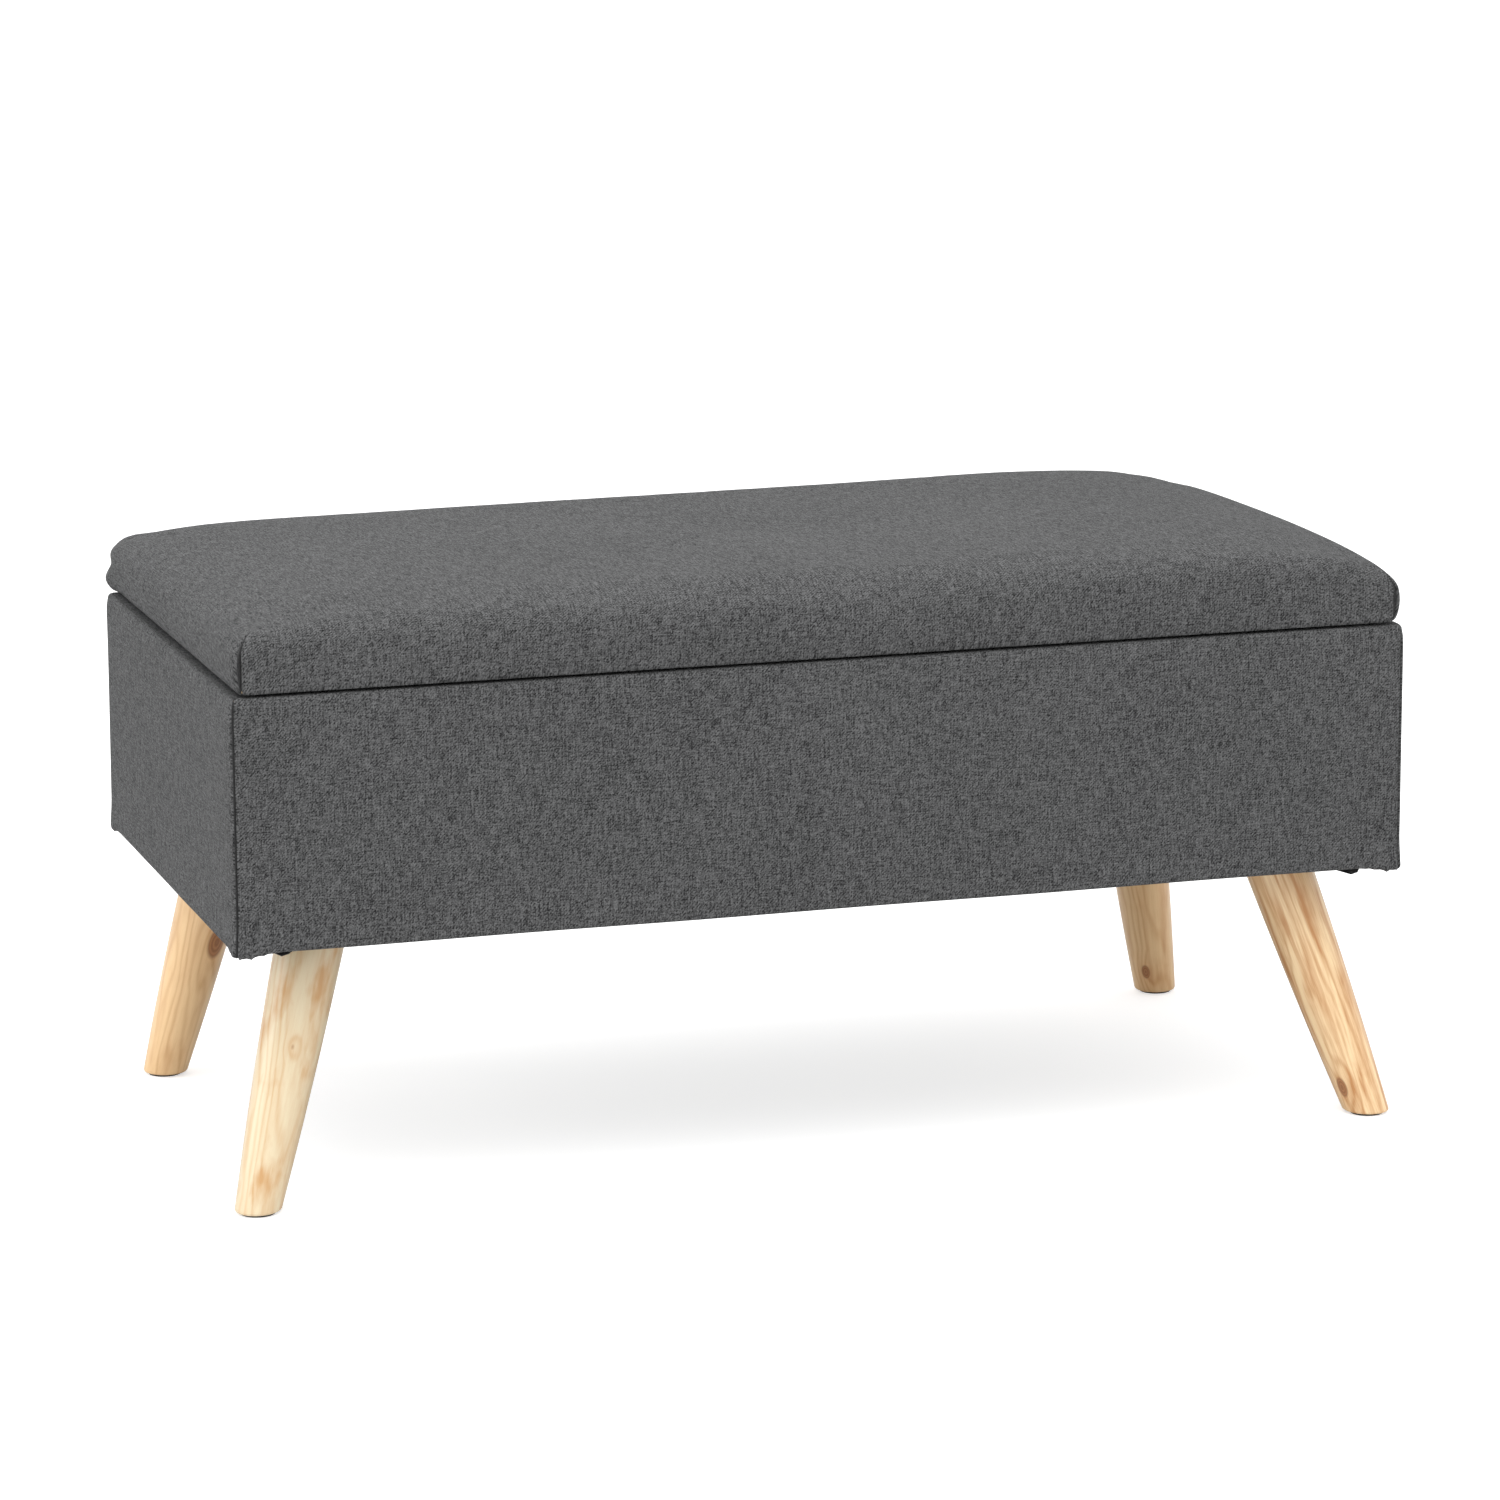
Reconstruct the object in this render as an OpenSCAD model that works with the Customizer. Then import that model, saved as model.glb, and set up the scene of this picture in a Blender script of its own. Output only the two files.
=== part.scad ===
// Upholstered storage bench: a fabric box with a hinged, padded lid on four splayed legs.
// Millimetres, +Z up. X runs along the bench, the front faces -Y, and the floor is z = 0.

/* [Overall size] */
// Width of the upholstered box
box_w = 920; // [760:5:1200]
// Depth of the upholstered box
box_d = 460; // [380:5:600]
// Height of the upholstered box
box_h = 188; // [150:1:260]
// Height of the underside of the box above the floor
leg_h = 203; // [150:1:280]

/* [Box] */
// Thickness of the front, back and side panels
panel_t = 15; // [12:0.5:18]
// Thickness of the bottom panel
bottom_t = 9; // [6:0.5:12]
// Outside rounding of the four upright corners
corner_r = 8; // [3:0.5:14]
// Side of the square corner blocks that carry the legs
block_w = 100; // [84:1:130]
// Width of the rails under the bottom panel
rail_w = 30; // [30:1:45]
// Height of the rails and corner blocks
rail_h = 24; // [18:1:34]

/* [Fabric] */
// Thickness of the cover fabric
fabric_t = 1.4; // [1:0.1:2]
// Thickness of the lining and dust cover cloth
lining_t = 0.8; // [0.5:0.1:1.2]
// Width of the cover's turned hem under the box
hem_w = 28; // [26:1:34]

/* [Lid] */
// How far each end of the lid is set in from the end of the box
lid_inset = 6; // [0:0.5:10]
// Gap between the rim of the box and the lid
lid_gap = 2.4; // [2.4:0.1:4]
// Thickness of the lid board
board_t = 12; // [9:0.5:16]
// Thickness of the whole lid at its middle
lid_h = 61.6; // [50:0.2:80]
// Fall of the padded top from the middle to the front and back edges
crown_d = 18; // [8:1:22]
// Fall of the padded top from the middle to the two ends
crown_w = 25; // [10:1:28]

/* [Legs] */
// Diameter of a leg at the box
leg_top_d = 52; // [42:1:60]
// Diameter of a leg at the floor
leg_foot_d = 34; // [24:1:40]
// Swell of a leg's outline half way up
leg_belly = 1.2; // [0:0.1:2.5]
// Distance from the ends and faces of the box to a leg's centre at the top
leg_inset = 75.8; // [66:0.2:90]
// Outward splay of the front legs along the bench
splay_front_x = 60; // [20:1:60]
// Forward splay of the front legs
splay_front_y = 57; // [20:1:58]
// Outward splay of the rear legs along the bench
splay_rear_x = 44; // [20:1:60]
// Backward splay of the rear legs
splay_rear_y = 47; // [20:1:58]

/* [Hinges and stays] */
// Distance of each hinge from the middle of the bench
hinge_x = 300; // [200:5:340]
// Length of each hinge
hinge_l = 60; // [50:5:80]
// Length of the lower arm of a lid stay
stay_arm_l = 190; // [150:5:200]

/* [Hidden] */

eps = 0.01;
// clearances
pin_clear = 0.05;       // hinge pin in a lid knuckle, on the radius
stay_clear = 0.08;      // stay rivet in its hole, on the radius
open_pivot_clear = 0.3; // stay link on the lid bracket's rivet, on the radius
layer_gap = 0.3;        // between the flat bars of a stay
knuckle_gap = 0.3;      // between neighbouring knuckles

// hinge
knuckle_r = 3.5;
pin_r = 1.5;
leaf_t = (lid_gap - 0.2) / 2;
knuckles = 5;
knuckle_l = hinge_l / knuckles;

// the barrels stand out behind the box, so the box sits half that far forward
yc = -knuckle_r;
y_front = yc - box_d / 2;
y_rear = yc + box_d / 2;

// levels
z_wood = leg_h + fabric_t;
z_rim = leg_h + box_h;
z_panel_top = z_rim - fabric_t;
z_bottom = z_wood + rail_h;
z_floor = z_bottom + bottom_t;
z_lid = z_rim + lid_gap;
z_board = z_lid + fabric_t;
z_foam = z_board + board_t;
z_top = z_lid + lid_h;
z_dust = leg_h - lining_t;

// box, measured from its centre
wood_x = box_w / 2 - fabric_t;
wood_y = box_d / 2 - fabric_t;
in_x = wood_x - panel_t;
in_y = wood_y - panel_t;
well_x = in_x - lining_t;
well_y = in_y - lining_t;
wood_r = corner_r - fabric_t;

// lid
lid_w = box_w - 2 * lid_inset;
arc_d = (pow(box_d / 2, 2) + crown_d * crown_d) / (2 * crown_d);
arc_w = (pow(lid_w / 2, 2) + crown_w * crown_w) / (2 * crown_w);
lid_hem = 42;
lid_lining_y = box_d / 2 - 34;
lid_lining_x = well_x - 22.8;
lid_hem_x = lid_w / 2 - lid_lining_x + 8;

// legs
bolt_r = 4;
bolt_down = 30;
glide_h = 1.8;
glide_r = 13;
nail_r = 1.2;
nail_l = 12;
dust_margin = 18;

// fasteners
screw_r = 1.8;
screw_head_r = 3.5;
small_r = 1.5;
small_head_r = 2.9;
staple_w = 10;
staple_wire = 0.9;
staple_crown = 0.6;
staple_in = 6;

// stays: the arm keeps pace with the lid and the link stays parallel to itself
pin_y = y_rear + knuckle_r;
pin_z = z_rim + lid_gap / 2;
stay_back = 34;
stay_down = 86;
stay_dip = 6;
bar_t = 2;
bar_w = 14;
rivet_r = 3;
rivet_head_r = 5.5;
ax = pin_y - stay_back;
az = pin_z - stay_down;
bx = ax - stay_arm_l * cos(stay_dip);
bz = az - stay_arm_l * sin(stay_dip);
cx = bx + stay_back;
cz = bz + stay_down;
x0 = well_x - bar_t;                 // wall bracket
x1 = x0 - layer_gap - bar_t;         // arm
x2 = x1 - layer_gap - bar_t;         // link
x3 = x2 - layer_gap - bar_t;         // ear of the lid bracket
foot_w = 19;
foot_t = 1.5;
foot_x = well_x - 2.8 - foot_w;

wood_c = [0.80, 0.68, 0.50];
ply_c = [0.72, 0.60, 0.44];
leg_c = [0.85, 0.70, 0.52];
cloth_c = [0.36, 0.37, 0.38];
black_c = [0.08, 0.08, 0.09];
steel_c = [0.70, 0.71, 0.72];

// block with rounded upright edges, centred in X and Y
module rbox(w, d, h, r) {
    translate([-w / 2 + r, -d / 2, 0]) cube([w - 2 * r, d, h]);
    translate([-w / 2, -d / 2 + r, 0]) cube([w, d - 2 * r, h]);
    for (x = [-1, 1], y = [-1, 1])
        translate([x * (w / 2 - r), y * (d / 2 - r), 0]) cylinder(h = h, r = r, $fn = 48);
}

module slab(xa, xb, ya, yb, za, zb) translate([xa, ya, za]) cube([xb - xa, yb - ya, zb - za]);

module right_or_left(s) mirror([s < 0 ? 1 : 0, 0, 0]) children();

// disc lying across X at depth y and height z
module disc(x, y, z, r, t) translate([x, y, z]) rotate([0, 90, 0]) cylinder(h = t, r = r, $fn = 48);

// flat bar between two points in the plane across X
module bar(x, ya, za, yb, zb) {
    translate([x, ya, za]) rotate([atan2(zb - za, yb - ya), 0, 0])
        translate([0, 0, -bar_w / 2]) cube([bar_t, norm([yb - ya, zb - za]), bar_w]);
    disc(x, ya, za, bar_w / 2 + 1, bar_t);
    disc(x, yb, zb, bar_w / 2 + 1, bar_t);
}

// ---------- box ----------

// one screw through the front or back panel into the end of a side panel
module panel_screw(x, z, f) {
    y = yc + f * (wood_y - 1);
    translate([x, y, z]) rotate([f * 90, 0, 0]) {
        cylinder(h = 2.5, r = screw_head_r, $fn = 32);
        cylinder(h = 42, r = screw_r, $fn = 32);
    }
}

module panel_screws() color(steel_c)
    for (x = [-1, 1], f = [-1, 1], k = [0, 1, 2])
        panel_screw(x * (in_x + panel_t / 2), z_wood + 25 + k * (z_panel_top - z_wood - 50) / 2, f);

module screw_pockets()
    for (x = [-1, 1], f = [-1, 1], k = [0, 1, 2])
        translate([x * (in_x + panel_t / 2), yc + f * (wood_y - 1.5),
                   z_wood + 25 + k * (z_panel_top - z_wood - 50) / 2])
            rotate([-f * 90, 0, 0]) cylinder(h = 3, r = screw_head_r, $fn = 32);

module long_panel(f) color(wood_c) difference() {
    intersection() {
        translate([0, yc, z_wood]) rbox(2 * wood_x, 2 * wood_y, z_panel_top - z_wood, wood_r);
        translate([-box_w / 2, f < 0 ? y_front : yc + in_y, z_wood])
            cube([box_w, fabric_t + panel_t, box_h]);
    }
    panel_screws();
    screw_pockets();
    hinge_box_screws();
}

module front_panel() long_panel(-1);
module back_panel() long_panel(1);

module side_panel(s) color(wood_c) difference() {
    translate([s > 0 ? in_x : -wood_x, yc - in_y, z_wood])
        cube([panel_t, 2 * in_y, z_panel_top - z_wood]);
    panel_screws();
    stay_wall_screws();
}

module left_panel() side_panel(-1);
module right_panel() side_panel(1);

module bottom_panel() color(ply_c) slab(-in_x, in_x, yc - in_y, yc + in_y, z_bottom, z_floor);

// T-nut and bolt positions follow the leg tops
function leg_x(s) = s * (box_w / 2 - leg_inset);
function leg_y(f) = yc + f * (box_d / 2 - leg_inset);

module corner_block(s, f) color(wood_c) difference() {
    translate([s > 0 ? in_x - block_w : -in_x, yc + (f > 0 ? in_y - block_w : -in_y), z_wood])
        cube([block_w, block_w, rail_h]);
    translate([leg_x(s), leg_y(f), z_wood - eps]) cylinder(h = rail_h, r = bolt_r + 0.4, $fn = 40);
    tee_nut_space(s, f);
    staple_prongs();
}

module corner_block_front_left() corner_block(-1, -1);
module corner_block_front_right() corner_block(1, -1);
module corner_block_rear_left() corner_block(-1, 1);
module corner_block_rear_right() corner_block(1, 1);

module long_rail(f) color(wood_c) difference() {
    slab(-(in_x - block_w), in_x - block_w,
         yc + (f > 0 ? in_y - rail_w : -in_y), yc + (f > 0 ? in_y : -in_y + rail_w), z_wood, z_bottom);
    staple_prongs();
}

module front_rail() long_rail(-1);
module rear_rail() long_rail(1);

module short_rail(s) color(wood_c) difference() {
    slab(s > 0 ? in_x - rail_w : -in_x, s > 0 ? in_x : -in_x + rail_w,
         yc - (in_y - block_w), yc + in_y - block_w, z_wood, z_bottom);
    staple_prongs();
}

module left_rail() short_rail(-1);
module right_rail() short_rail(1);

module centre_rail() color(wood_c)
    slab(-rail_w / 2, rail_w / 2, yc - in_y + rail_w, yc + in_y - rail_w, z_wood, z_bottom);

// fabric pulled over the outside, over the rim and under the bottom edge
module body_cover() color(cloth_c) difference() {
    translate([0, yc, leg_h]) rbox(box_w, box_d, box_h, corner_r);
    translate([0, yc, z_wood]) rbox(2 * wood_x, 2 * wood_y, z_panel_top - z_wood, wood_r);
    slab(-well_x, well_x, yc - well_y, yc + well_y, z_floor, z_rim + 1);
    slab(-box_w / 2 + hem_w, box_w / 2 - hem_w, y_front + hem_w, y_rear - hem_w, leg_h - 1, z_floor);
    staple_prongs();
    hinge_box_screws();
}

// cloth glued to the inside walls and the bottom panel
module storage_lining() color(black_c) difference() {
    slab(-in_x, in_x, yc - in_y, yc + in_y, z_floor, z_panel_top);
    slab(-well_x, well_x, yc - well_y, yc + well_y, z_floor + lining_t, z_rim + 1);
    stay_wall_screws();
}

// thin black cloth that closes the underside, with a round opening at each leg
module dust_cover() color(black_c) difference() {
    slab(-box_w / 2 + dust_margin, box_w / 2 - dust_margin,
         y_front + dust_margin, y_rear - dust_margin, z_dust, leg_h);
    for (s = [-1, 1], f = [-1, 1])
        translate([leg_x(s), leg_y(f), z_dust - 1]) cylinder(h = 4, r = leg_top_d / 2 + 6, $fn = 64);
    staple_prongs();
}

// staples: [x, y, turned] around the underside and around the lid
function ring_spots(hx, hy) = concat(
    [for (f = [-1, 1], k = [0:5]) [-hx + (k + 0.5) * hx / 3, yc + f * hy, 0]],
    [for (s = [-1, 1], k = [0:2]) [s * hx, yc - hy + (k + 0.5) * hy * 2 / 3, 90]]);
box_spots = ring_spots(box_w / 2 - 24, box_d / 2 - 24);
lid_spots = ring_spots(lid_lining_x - 3, lid_lining_y - 3);

module prongs(z, l)
    for (e = [-1, 1])
        translate([e * (staple_w / 2 - staple_wire / 2) - staple_wire / 2, -staple_wire / 2, z])
            cube([staple_wire, staple_wire, l]);

module staple_prongs()
    for (p = box_spots) translate([p[0], p[1], 0]) rotate([0, 0, p[2]]) prongs(z_dust, staple_in);

module dust_cover_staples() color(steel_c) {
    for (p = box_spots) translate([p[0], p[1], 0]) rotate([0, 0, p[2]]) {
        prongs(z_dust, staple_in);
        translate([-staple_w / 2, -staple_wire / 2, z_dust - staple_crown])
            cube([staple_w, staple_wire, staple_crown]);
    }
}

// ---------- legs ----------

function foot_x_of(s, f) = leg_x(s) + s * (f < 0 ? splay_front_x : splay_rear_x);
function foot_y_of(f) = leg_y(f) + f * (f < 0 ? splay_front_y : splay_rear_y);
function leg_r(t) = leg_foot_d / 2 + (leg_top_d - leg_foot_d) / 2 * t + leg_belly * 4 * t * (1 - t);

// turned, tapered leg, cut level at both ends, with a bolt hole on top and a nail hole below
module left_leg(f) difference() {
    ft = [foot_x_of(-1, f), foot_y_of(f), glide_h];
    tp = [leg_x(-1), leg_y(f), z_wood];
    d = tp - ft;
    l = norm(d);
    intersection() {
        translate(ft) rotate([0, acos(d[2] / l), atan2(d[1], d[0])]) rotate_extrude($fn = 72)
            polygon(concat([[0, -20], [leg_r(0) - 1, -20]],
                           [for (k = [0:8]) [leg_r(k / 8), l * k / 8]],
                           [[leg_r(1) + 1, l + 30], [0, l + 30]]));
        slab(ft[0] - 120, ft[0] + 120, ft[1] - 120, ft[1] + 120, glide_h, z_wood);
    }
    translate([tp[0], tp[1], z_wood - bolt_down - 1]) cylinder(h = bolt_down + 2, r = bolt_r, $fn = 40);
    translate([ft[0], ft[1], 0]) cylinder(h = glide_h + nail_l, r = nail_r, $fn = 24);
}

module leg(s, f) color(leg_c) mirror([s > 0 ? 1 : 0, 0, 0]) left_leg(f);

module leg_front_left() leg(-1, -1);
module leg_front_right() leg(1, -1);
module leg_rear_left() leg(-1, 1);
module leg_rear_right() leg(1, 1);

nut_flange_r = 9.5;
nut_flange_t = 1.6;
nut_barrel_r = 5.2;
nut_barrel_l = 9;

module tee_nut_space(s, f) translate([leg_x(s), leg_y(f), 0]) {
    translate([0, 0, z_bottom - nut_flange_t]) cylinder(h = nut_flange_t + eps, r = nut_flange_r, $fn = 48);
    translate([0, 0, z_bottom - nut_barrel_l]) cylinder(h = nut_barrel_l, r = nut_barrel_r, $fn = 40);
}

// pronged nuts let into the tops of the corner blocks
module leg_tee_nuts() color(steel_c)
    for (s = [-1, 1], f = [-1, 1]) translate([leg_x(s), leg_y(f), 0]) difference() {
        union() {
            translate([0, 0, z_bottom - nut_flange_t]) cylinder(h = nut_flange_t, r = nut_flange_r, $fn = 48);
            translate([0, 0, z_bottom - nut_barrel_l]) cylinder(h = nut_barrel_l, r = nut_barrel_r, $fn = 40);
        }
        translate([0, 0, z_bottom - 20]) cylinder(h = 30, r = bolt_r, $fn = 40);
    }

// hanger bolts standing out of the leg tops
module leg_bolts() color(steel_c)
    for (s = [-1, 1], f = [-1, 1])
        translate([leg_x(s), leg_y(f), z_wood - bolt_down - 1])
            cylinder(h = bolt_down + 1 + rail_h - 0.4, r = bolt_r, $fn = 40);

// nail-on glides under the feet
module foot_glides() color(black_c)
    for (s = [-1, 1], f = [-1, 1]) translate([foot_x_of(s, f), foot_y_of(f), 0]) {
        cylinder(h = glide_h, r = glide_r, $fn = 48);
        cylinder(h = glide_h + nail_l, r = nail_r, $fn = 24);
    }

// ---------- lid ----------

// crowned block of the lid, g inside the finished outline, standing on level z
module crown(g, z) intersection() {
    translate([0, yc, z]) rbox(lid_w - 2 * g, box_d - 2 * g, lid_h, corner_r - g);
    translate([0, yc, z_top - arc_d]) rotate([0, 90, 0])
        cylinder(h = lid_w + 40, r = arc_d - g, center = true, $fn = 720);
    translate([0, yc, z_top - arc_w]) rotate([90, 0, 0])
        cylinder(h = box_d + 40, r = arc_w - g, center = true, $fn = 1440);
}

module lid_prongs()
    for (p = lid_spots) translate([p[0], p[1], 0]) rotate([0, 0, p[2]]) prongs(z_lid - lining_t, staple_in);

module lid_board() color(wood_c) difference() {
    translate([0, yc, z_board]) rbox(lid_w - 2 * fabric_t, box_d - 2 * fabric_t, board_t, wood_r);
    lid_prongs();
    hinge_lid_screws();
    stay_lid_screws();
}

module lid_foam() color([0.93, 0.90, 0.78]) crown(fabric_t, z_foam);

module lid_cover() color(cloth_c) difference() {
    crown(0, z_lid);
    crown(fabric_t, z_board);
    slab(-lid_w / 2 + lid_hem_x, lid_w / 2 - lid_hem_x, y_front + lid_hem, y_rear - lid_hem,
         z_lid - 1, z_foam);
    lid_prongs();
    hinge_lid_screws();
    stay_lid_screws();
}

module lid_lining() color(black_c) difference() {
    slab(-lid_lining_x, lid_lining_x, yc - lid_lining_y, yc + lid_lining_y, z_lid - lining_t, z_lid);
    lid_prongs();
}

module lid_staples() color(steel_c) {
    for (p = lid_spots) translate([p[0], p[1], 0]) rotate([0, 0, p[2]]) {
        prongs(z_lid - lining_t, staple_in);
        translate([-staple_w / 2, -staple_wire / 2, z_lid - lining_t - staple_crown])
            cube([staple_w, staple_wire, staple_crown]);
    }
}

// ---------- hinges ----------

leaf_in = y_rear - fabric_t - panel_t + 0.5;
leaf_out = y_rear - 0.3;
leaf_screw_y = y_rear - fabric_t - panel_t / 2;

module barrel(xa, l) translate([xa, pin_y, pin_z]) rotate([0, 90, 0]) cylinder(h = l, r = knuckle_r, $fn = 48);
module bore(xa, l, r) translate([xa, pin_y, pin_z]) rotate([0, 90, 0]) cylinder(h = l, r = r, $fn = 48);

// one leaf: lid = 0 lies on the rim and has the odd knuckles, lid = 1 is under the lid
module leaf(s, lid) color(steel_c) {
    xs = s * hinge_x - hinge_l / 2;
    z = lid == 1 ? z_lid - leaf_t : z_rim;
    difference() {
        union() {
            slab(xs, xs + hinge_l, leaf_in, leaf_out, z, z + leaf_t);
            for (k = [lid:2:knuckles - 1]) {
                xa = xs + k * knuckle_l + knuckle_gap / 2;
                slab(xa, xa + knuckle_l - knuckle_gap, leaf_out - 1, pin_y, z, z + leaf_t);
                barrel(xa, knuckle_l - knuckle_gap);
            }
        }
        bore(xs - 1, hinge_l + 2, lid == 1 ? pin_r + pin_clear : pin_r);
        if (lid == 1) hinge_lid_screws(); else hinge_box_screws();
    }
}

module hinge_box_leaf_left() leaf(-1, 0);
module hinge_box_leaf_right() leaf(1, 0);
module hinge_lid_leaf_left() leaf(-1, 1);
module hinge_lid_leaf_right() leaf(1, 1);

module hinge_pin(s) color(steel_c) bore(s * hinge_x - hinge_l / 2 - 0.5, hinge_l + 1, pin_r);
module hinge_pin_left() hinge_pin(-1);
module hinge_pin_right() hinge_pin(1);

// three screws a leaf
module leaf_screws(up, l)
    for (s = [-1, 1], k = [-1, 0, 1])
        translate([s * hinge_x + k * hinge_l / 3, leaf_screw_y, up > 0 ? z_lid - leaf_t : z_rim + leaf_t])
            mirror([0, 0, up > 0 ? 0 : 1]) {
                cylinder(h = 0.8, r = small_head_r, $fn = 32);
                cylinder(h = l, r = small_r, $fn = 32);
            }
module hinge_box_screws() color(steel_c) leaf_screws(-1, 20);
module hinge_lid_screws() color(steel_c) leaf_screws(1, leaf_t + fabric_t + board_t - 2);

// ---------- lid stays ----------

module stay_wall_screws() color(steel_c)
    for (s = [-1, 1], k = [-1, 1]) right_or_left(s) {
        disc(x0, ax, az + k * 18, small_head_r, 1.2);
        disc(x0, ax, az + k * 18, small_r, bar_t + lining_t + panel_t - 3);
    }

// plate on the side wall with a rivet for the arm
module stay_wall_bracket(s) color(steel_c) right_or_left(s) difference() {
    union() {
        slab(x0, well_x, ax - 10, ax + 10, az - 26, az + 26);
        disc(x1 - layer_gap - 0.5, ax, az, rivet_r, bar_t + 2 * layer_gap + 0.6);
        disc(x1 - layer_gap - 1, ax, az, rivet_head_r, 1);
    }
    stay_wall_screws();
}
module stay_wall_bracket_left() stay_wall_bracket(-1);
module stay_wall_bracket_right() stay_wall_bracket(1);

// lower arm with the elbow rivet
module stay_arm(s) color(steel_c) right_or_left(s) difference() {
    union() {
        bar(x1, ax, az, bx, bz);
        disc(x2 - layer_gap - 0.5, bx, bz, rivet_r, bar_t + 2 * layer_gap + 0.6);
        disc(x2 - layer_gap - 1, bx, bz, rivet_head_r, 1);
    }
    disc(x1 - 1, ax, az, rivet_r + stay_clear, bar_t + 2);
}
module stay_arm_left() stay_arm(-1);
module stay_arm_right() stay_arm(1);

// upper link
module stay_link(s) color(steel_c) right_or_left(s) difference() {
    bar(x2, bx, bz, cx, cz);
    disc(x2 - 1, bx, bz, rivet_r + stay_clear, bar_t + 2);
    disc(x2 - 1, cx, cz, rivet_r + open_pivot_clear, bar_t + 2);
}
module stay_link_left() stay_link(-1);
module stay_link_right() stay_link(1);

// angle bracket under the lid with a rivet for the link
module stay_lid_bracket(s) color(steel_c) right_or_left(s) difference() {
    union() {
        slab(foot_x, foot_x + foot_w, cx - 22, cx + 22, z_lid - foot_t, z_lid);
        slab(x3, x3 + bar_t, cx - 8, cx + 8, cz, z_lid - foot_t + eps);
        disc(x3, cx, cz, 8, bar_t);
        disc(x3 + bar_t - eps, cx, cz, rivet_r, bar_t + 2 * layer_gap + 0.3);
        disc(x2 + bar_t + layer_gap, cx, cz, rivet_head_r, 1);
    }
    stay_lid_screws();
}
module stay_lid_bracket_left() stay_lid_bracket(-1);
module stay_lid_bracket_right() stay_lid_bracket(1);

module stay_lid_screws() color(steel_c)
    for (s = [-1, 1], k = [-1, 1]) right_or_left(s)
        translate([foot_x + 6, cx + k * 15, z_lid - foot_t]) {
            cylinder(h = 1, r = small_head_r, $fn = 32);
            cylinder(h = foot_t + fabric_t + board_t - 3, r = small_r, $fn = 32);
        }

front_panel();
back_panel();
left_panel();
right_panel();
bottom_panel();
corner_block_front_left();
corner_block_front_right();
corner_block_rear_left();
corner_block_rear_right();
front_rail();
rear_rail();
left_rail();
right_rail();
centre_rail();
body_cover();
storage_lining();
dust_cover();
panel_screws();
dust_cover_staples();
leg_front_left();
leg_front_right();
leg_rear_left();
leg_rear_right();
leg_bolts();
leg_tee_nuts();
foot_glides();
lid_board();
lid_foam();
lid_cover();
lid_lining();
lid_staples();
hinge_box_leaf_left();
hinge_box_leaf_right();
hinge_lid_leaf_left();
hinge_lid_leaf_right();
hinge_pin_left();
hinge_pin_right();
hinge_box_screws();
hinge_lid_screws();
stay_wall_bracket_left();
stay_wall_bracket_right();
stay_arm_left();
stay_arm_right();
stay_link_left();
stay_link_right();
stay_lid_bracket_left();
stay_lid_bracket_right();
stay_wall_screws();
stay_lid_screws();
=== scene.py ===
from math import radians

import bpy
import numpy as np
from mathutils import Matrix, Vector
from mathutils.kdtree import KDTree


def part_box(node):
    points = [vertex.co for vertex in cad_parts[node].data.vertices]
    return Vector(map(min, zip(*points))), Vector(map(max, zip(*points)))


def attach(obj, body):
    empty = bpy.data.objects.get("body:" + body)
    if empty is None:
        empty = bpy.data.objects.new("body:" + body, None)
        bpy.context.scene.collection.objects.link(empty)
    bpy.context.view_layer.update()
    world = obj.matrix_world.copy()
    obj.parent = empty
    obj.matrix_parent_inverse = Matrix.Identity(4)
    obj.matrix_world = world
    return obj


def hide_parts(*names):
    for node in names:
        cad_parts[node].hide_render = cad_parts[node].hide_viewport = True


bl_info = {
    "name": "Upholstered storage bench",
    "version": (1, 0, 0),
    "blender": (4, 5, 0),
    "location": "3D View > Sidebar > Bench",
    "description": "Fabric covers, wooden legs and fittings of a lidded storage bench",
    "category": "Object",
}

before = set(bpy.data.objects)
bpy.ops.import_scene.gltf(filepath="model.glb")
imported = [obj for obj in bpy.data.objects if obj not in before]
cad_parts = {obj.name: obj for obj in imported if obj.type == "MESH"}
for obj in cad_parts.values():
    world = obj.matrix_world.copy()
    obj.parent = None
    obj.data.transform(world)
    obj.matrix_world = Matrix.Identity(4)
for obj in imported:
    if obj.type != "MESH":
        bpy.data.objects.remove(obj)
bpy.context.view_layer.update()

MM = 0.001


def cad(node):
    """The lowest and highest corner of a node, as arrays."""
    low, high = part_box(node)
    return np.array(low), np.array(high)


BOX_LOW, BOX_HIGH = cad("body_cover")
LID_LOW, LID_HIGH = cad("lid_cover")
MID_Y = float(BOX_LOW[1] + BOX_HIGH[1]) / 2


# ---------------------------------------------------------------- sizes and colours

class BenchCloth(bpy.types.PropertyGroup):
    """The grey twill and how it is pulled over the bench."""
    thread: bpy.props.FloatProperty(name="Twill pitch", description="Distance between two twill lines",
                                    default=2.0 * MM, min=1 * MM, max=6 * MM, unit="LENGTH")
    dark: bpy.props.FloatVectorProperty(name="Dark yarn", description="Colour of the dark yarn",
                                        default=(0.018, 0.0184, 0.0188), subtype="COLOR")
    light: bpy.props.FloatVectorProperty(name="Light yarn", description="Colour of the light yarn",
                                         default=(0.158, 0.159, 0.161), subtype="COLOR")
    corner: bpy.props.FloatProperty(name="Corner rounding", description="Rounding of the upright corners",
                                    default=8 * MM, min=3 * MM, max=20 * MM, unit="LENGTH")
    slack: bpy.props.FloatProperty(name="Waviness", description="How far the stretched cloth waves",
                                   default=0.5 * MM, min=0, max=3 * MM, unit="LENGTH")


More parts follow.
